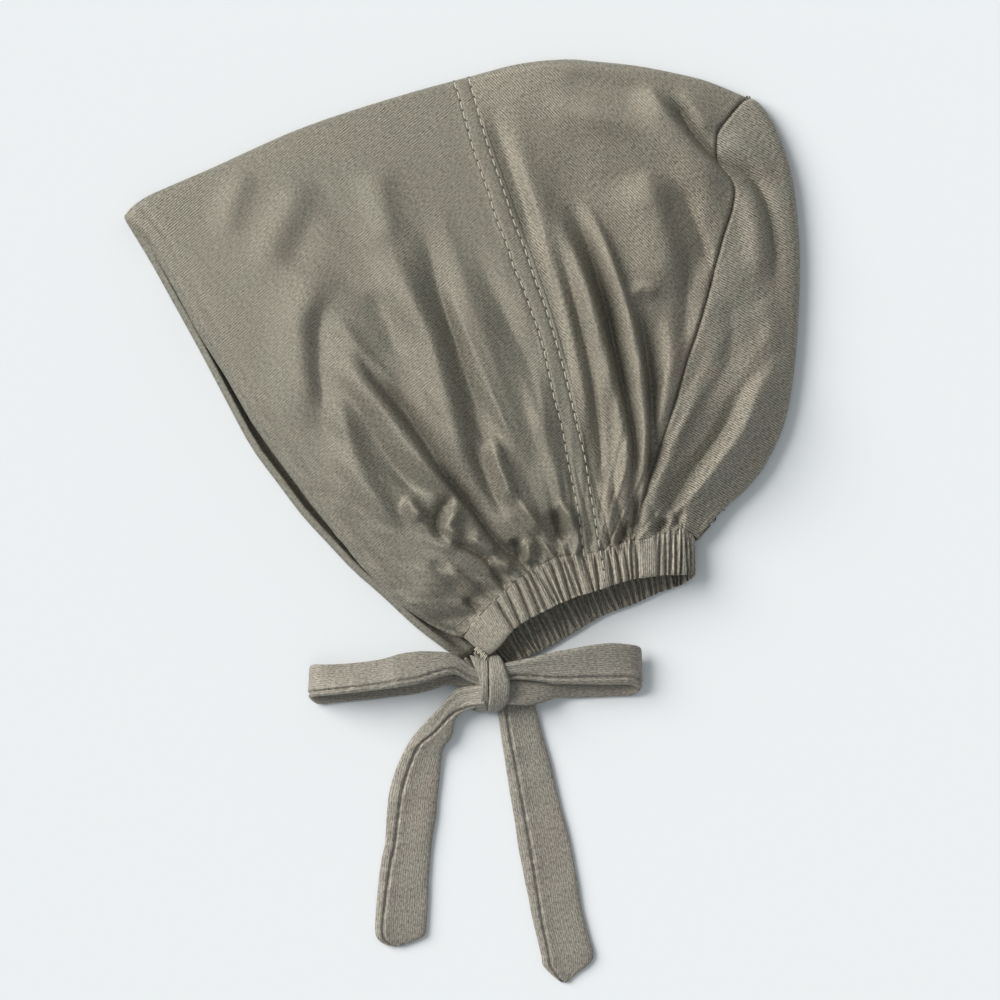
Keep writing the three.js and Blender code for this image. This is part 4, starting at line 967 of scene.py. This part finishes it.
# A seam at 9 lies off the tie, so none shows
def tiePiece(name, rows, node, seed, creases=0.0, seamWay=((0, 9), (1, 9)), tiltWay=((0, 0), (1, 0))):
    line = curveThrough(np.array([[*plan(row[:2]), *plan(row[2:4]), row[4], row[5]] for row in rows]),
                        tieDetail["stepsPerRow"])
    count = max(24, int(lengthsAlong(line[:, :2])[-1] / tieDetail["spacing"]))
    line = lineAt(line, np.linspace(0, 1, count))
    one = np.column_stack([line[:, :2], line[:, 4]])
    other = np.column_stack([line[:, 2:4], line[:, 4]])
    tilt = np.interp(np.linspace(0, 1, count), *zip(*tiltWay)) / 2
    one[:, 2] -= tilt
    other[:, 2] += tilt
    middle = (one + other) / 2
    width = np.linalg.norm(other - one, axis=1)
    across = unit(other - one)
    up = unit(np.cross(across, unit(np.gradient(middle, axis=0))))
    if up[0, 2] < 0:
        up = -up
    along = lengthsAlong(middle)
    seamShare = np.interp(along / along[-1], *zip(*seamWay))
    top = np.sin(np.linspace(math.pi / 2, -math.pi / 2, tieDetail["top"]))
    below = np.sin(np.linspace(-math.pi / 2, math.pi / 2, tieDetail["bottom"])[1:-1])
    rings, uvs = [], []
    for side, face in [(x, 1) for x in top] + [(x, -1) for x in below]:
        lift = face * math.sqrt(max(1 - abs(side) ** tieDetail["edge"], 0))
        x = side * width / 2
        wave = tieDetail["wave"] * cloud(along, x * 0.5, tieDetail["wavePitch"], seed)
        wave = wave * (1 - abs(side) ** 6)
        toSeam = x - seamShare * width / 2
        seam = tieDetail["seamDepth"] * bell(toSeam, tieDetail["seamWidth"])
        seam = seam - tieDetail["plump"] * bell(toSeam, tieDetail["plumpWidth"])
        pucker = tieDetail["pucker"] * cloud(along, x * 0 + 1, tieDetail["puckerPitch"], seed + 1)
        pucker = pucker * bell(toSeam, tieDetail["puckerWidth"])
        shift = cloud(along, x * 0, tieDetail["creasePitch"], seed + 2)
        crease = creases * np.cos(x * tieDetail["creaseTurn"] + shift) * (1 - abs(side) ** 4)
        crease = crease * smooth((tieDetail["creaseFrom"] - width) / tieDetail["creaseOver"])
        height = lift * line[:, 5] / 2 + (wave + pucker + crease - seam) * max(lift, 0)
        ripple = cloud(along, np.full(count, side * 3), tieDetail["ripplePitch"], seed + 3)
        ripple = tieDetail["ripple"] * ripple * abs(side) ** 3
        spot = middle + across * (x + ripple)[:, None] + up * height[:, None]
        rings.append(spot)
        uvs.append(np.stack([x, along], -1))
    rings = np.stack(rings, 1)
    rings[..., 2] = np.maximum(rings[..., 2], lowest)
    points, faces, uv = tubeMesh(rings, np.stack(uvs, 1))
    return makePiece(name, points, faces, uv, jersey["tie"], "jersey_tie", node)


for key, (node, seed, creases) in tieTable.items():
    extras = {label: ways[key] for label, ways in (("seamWay", seamWays), ("tiltWay", tiltWays))
              if key in ways}
    tiePiece(key + "_tie", ties[key], node, seed, creases, **extras)
print("ties made")

# Knot: the wrap that crosses over, with a narrow strand pulled tight beside it

knot = {
    "wrap": [
        (489, 658, 499, 657, 6.4, 3.0), (489, 663, 503, 661, 9.6, 4.6), (489, 671, 506, 669, 11.6, 5.4),
        (489, 682, 510, 681, 12.2, 5.8), (489, 692, 510, 691, 11.6, 5.6),
        (488, 701, 508, 700, 9.2, 5.2), (487, 708, 502, 706, 5.4, 4.0), (487, 711, 497, 709, 3.2, 2.4)],
    "strand": [
        (480, 657, 487, 657, 7.0, 2.6), (480.5, 664, 488, 664, 9.6, 3.6),
        (481, 676, 489, 676, 11.2, 4.2), (481, 690, 489, 690, 11.0, 4.2), (480, 700, 489, 701, 8.6, 4.0),
        (476, 706, 487, 708, 5.2, 3.4), (473, 709, 485, 711, 3.2, 2.2)],
}


def knotPiece():
    found = [tiePiece("knotStrand", knot[part], None, seed)
             for part, seed in (("wrap", 101), ("strand", 111))]
    bpy.context.view_layer.update()
    bpy.ops.object.select_all(action="DESELECT")
    for strand in found:
        strand.select_set(True)
    bpy.context.view_layer.objects.active = found[0]
    bpy.ops.object.join()
    found[0].name = "knot_tie"
    found[0].data.name = "knot_tie"
    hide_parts("bow_knot")
    return found[0]


bowKnot = knotPiece()
print("knot made")

# Twin stitching down the front seam, and the bar tack at the casing's end

stitches = {"pitch": 4.5, "cover": 0.74, "radius": 0.27, "arch": 0.35, "sunk": 0.1, "blunt": 0.12,
            "sides": 8, "steps": 6, "hole": 0.42, "holeThick": 0.8, "holeHeights": (0.12, 0.2, 0.12)}
tack = {"corners": ((474, 650), (485, 659), (478, 646), (487, 654)), "heights": (9.4, 10.4, 9.6),
        "threads": 9, "jitter": 0.3, "radius": 0.26, "seed": 7}


def surfaceHeight(places):
    _, share, side = nearest(gatherUpper[:, :2], places)
    return np.where(side > 0, upperHeight(places), lineAt(gatherUpper, share)[:, 2] - 0.2)


def stitchRow(line):
    total = lengthsAlong(line)[-1]
    count = int(total / stitches["pitch"])
    shares = (np.arange(count) + 0.5) / count
    half = stitches["cover"] / 2 / count
    dashes = [lineAt(line, np.linspace(s - half, s + half, stitches["steps"])) for s in shares]
    return dashes, lineAt(line, np.arange(count + 1) / count)


def threadMesh(paths, radius):
    points, faces, uvs, base = [], [], [], 0
    angles = np.linspace(0, 2 * math.pi, stitches["sides"], endpoint=False)
    for path in paths:
        tangent = unit(np.gradient(path, axis=0))
        side = unit(np.cross(tangent, [0, 0, 1.0]))
        up = np.cross(side, tangent)
        share = np.linspace(-1, 1, len(path))
        size = radius * np.sqrt(np.maximum(1 - np.abs(share) ** 6, stitches["blunt"]))
        rings = np.stack([path + (side * math.cos(a) + up * math.sin(a)) * size[:, None]
                          for a in angles], 1)
        uv = np.stack([np.stack([np.full(len(path), a), lengthsAlong(path)], -1) for a in angles], 1)
        tubePoints, tubeFaces, tubeUv = tubeMesh(rings, uv)
        points.append(tubePoints)
        uvs.append(tubeUv)
        faces += [[corner + base for corner in face] for face in tubeFaces]
        base += len(tubePoints)
    return np.vstack(points), faces, np.vstack(uvs)


def twinStitching():
    paths, holeShadows = [], []
    lift = np.array([[-stitches["hole"], 0, 0], [0, 0, 0], [stitches["hole"], 0, 0]])
    lift[:, 2] = stitches["holeHeights"]
    for line in twinLines.values():
        dashes, spots = stitchRow(line)
        for dash in dashes:
            arch = np.sin(np.linspace(0, math.pi, len(dash))) * stitches["arch"]
            paths.append(np.column_stack([dash, surfaceHeight(dash) + arch - stitches["sunk"]]))
        # near-black blobs at each needle hole: painted shadow of the pits
        holeShadows += [np.append(spot, z) + lift for spot, z in zip(spots, surfaceHeight(spots))]
    for name, found, radius, look in (
            ("twin_stitching", paths, stitches["radius"], threadLook),
            ("needle_hole_shadows", holeShadows, stitches["hole"] * stitches["holeThick"], holeShadowLook)):
        makePiece(name, *threadMesh(found, radius), look, "stitch_thread")


def barTack():
    jitters = np.random.default_rng(tack["seed"])
    oneFrom, oneTo, otherFrom, otherTo = plan(tack["corners"])
    low, high, end = tack["heights"]
    paths = []
    for share in np.linspace(0, 1, tack["threads"]):
        one = oneFrom + (oneTo - oneFrom) * share
        other = otherFrom + (otherTo - otherFrom) * share
        jitter = jitters.uniform(-tack["jitter"], tack["jitter"], 4)
        path = np.array([[*(one + jitter[:2]), low], [*((one + other) / 2), high],
                         [*(other + jitter[2:]), end]])
        paths.append(curveThrough(path, 4))
    makePiece("bar_tack", *threadMesh(paths, tack["radius"]), threadLook, "stitch_thread")


twinStitching()
barTack()
print("stitching made")
# Studio: pale table, a large soft key from the left and pale light all round

studio = {
    "floor": (0.84, 0.868, 0.885), "keyStrength": 3.75, "keySpread": 42, "keyTurn": 151, "keyRise": 32,
    "keyColor": (1.0, 0.975, 0.945), "ambient": (0.37, 0.39, 0.405), "reach": 4,
}
reach = studio["reach"]
floorMesh = bpy.data.meshes.new("tableTop")
floorMesh.from_pydata([(-reach, -reach, 0), (reach, -reach, 0), (reach, reach, 0), (-reach, reach, 0)],
                      [], [(0, 1, 2, 3)])
tableTop = addObject("tableTop", floorMesh)
floorLook, _, floorShader = newMaterial("tablePaper")
setSockets(floorShader, {"Base Color": (*studio["floor"], 1), "Roughness": 0.9,
                         "Specular IOR Level": 0.1})
floorMesh.materials.append(floorLook)

keyData = bpy.data.lights.new("softKey", "SUN")
keyData.energy = studio["keyStrength"]
keyData.angle = math.radians(studio["keySpread"])
keyData.color = studio["keyColor"]
softKey = addObject("softKey", keyData)
turn, rise = math.radians(studio["keyTurn"]), math.radians(studio["keyRise"])
fromWhere = Vector((math.cos(rise) * math.cos(turn), math.cos(rise) * math.sin(turn), math.sin(rise)))
softKey.location = fromWhere
softKey.rotation_euler = (-fromWhere).to_track_quat("-Z", "Y").to_euler()

world = bpy.data.worlds.new("softRoom")
bpy.context.scene.world = world
world.use_nodes = True
room = world.node_tree
roomLight = room.nodes["Background"]
seen = room.nodes.new("ShaderNodeBackground")
setSockets(roomLight, {"Color": (*studio["ambient"], 1)})
setSockets(seen, {"Color": (*studio["floor"], 1)})
pick = room.nodes.new("ShaderNodeMixShader")
rays = room.nodes.new("ShaderNodeLightPath")
wire(room, rays.outputs["Is Camera Ray"], pick.inputs["Fac"])
wire(room, roomLight.outputs["Background"], pick.inputs[1])
wire(room, seen.outputs["Background"], pick.inputs[2])
wire(room, pick.outputs["Shader"], room.nodes["World Output"].inputs["Surface"])
bpy.context.scene.view_settings.view_transform = "Standard"
print("studio lit")
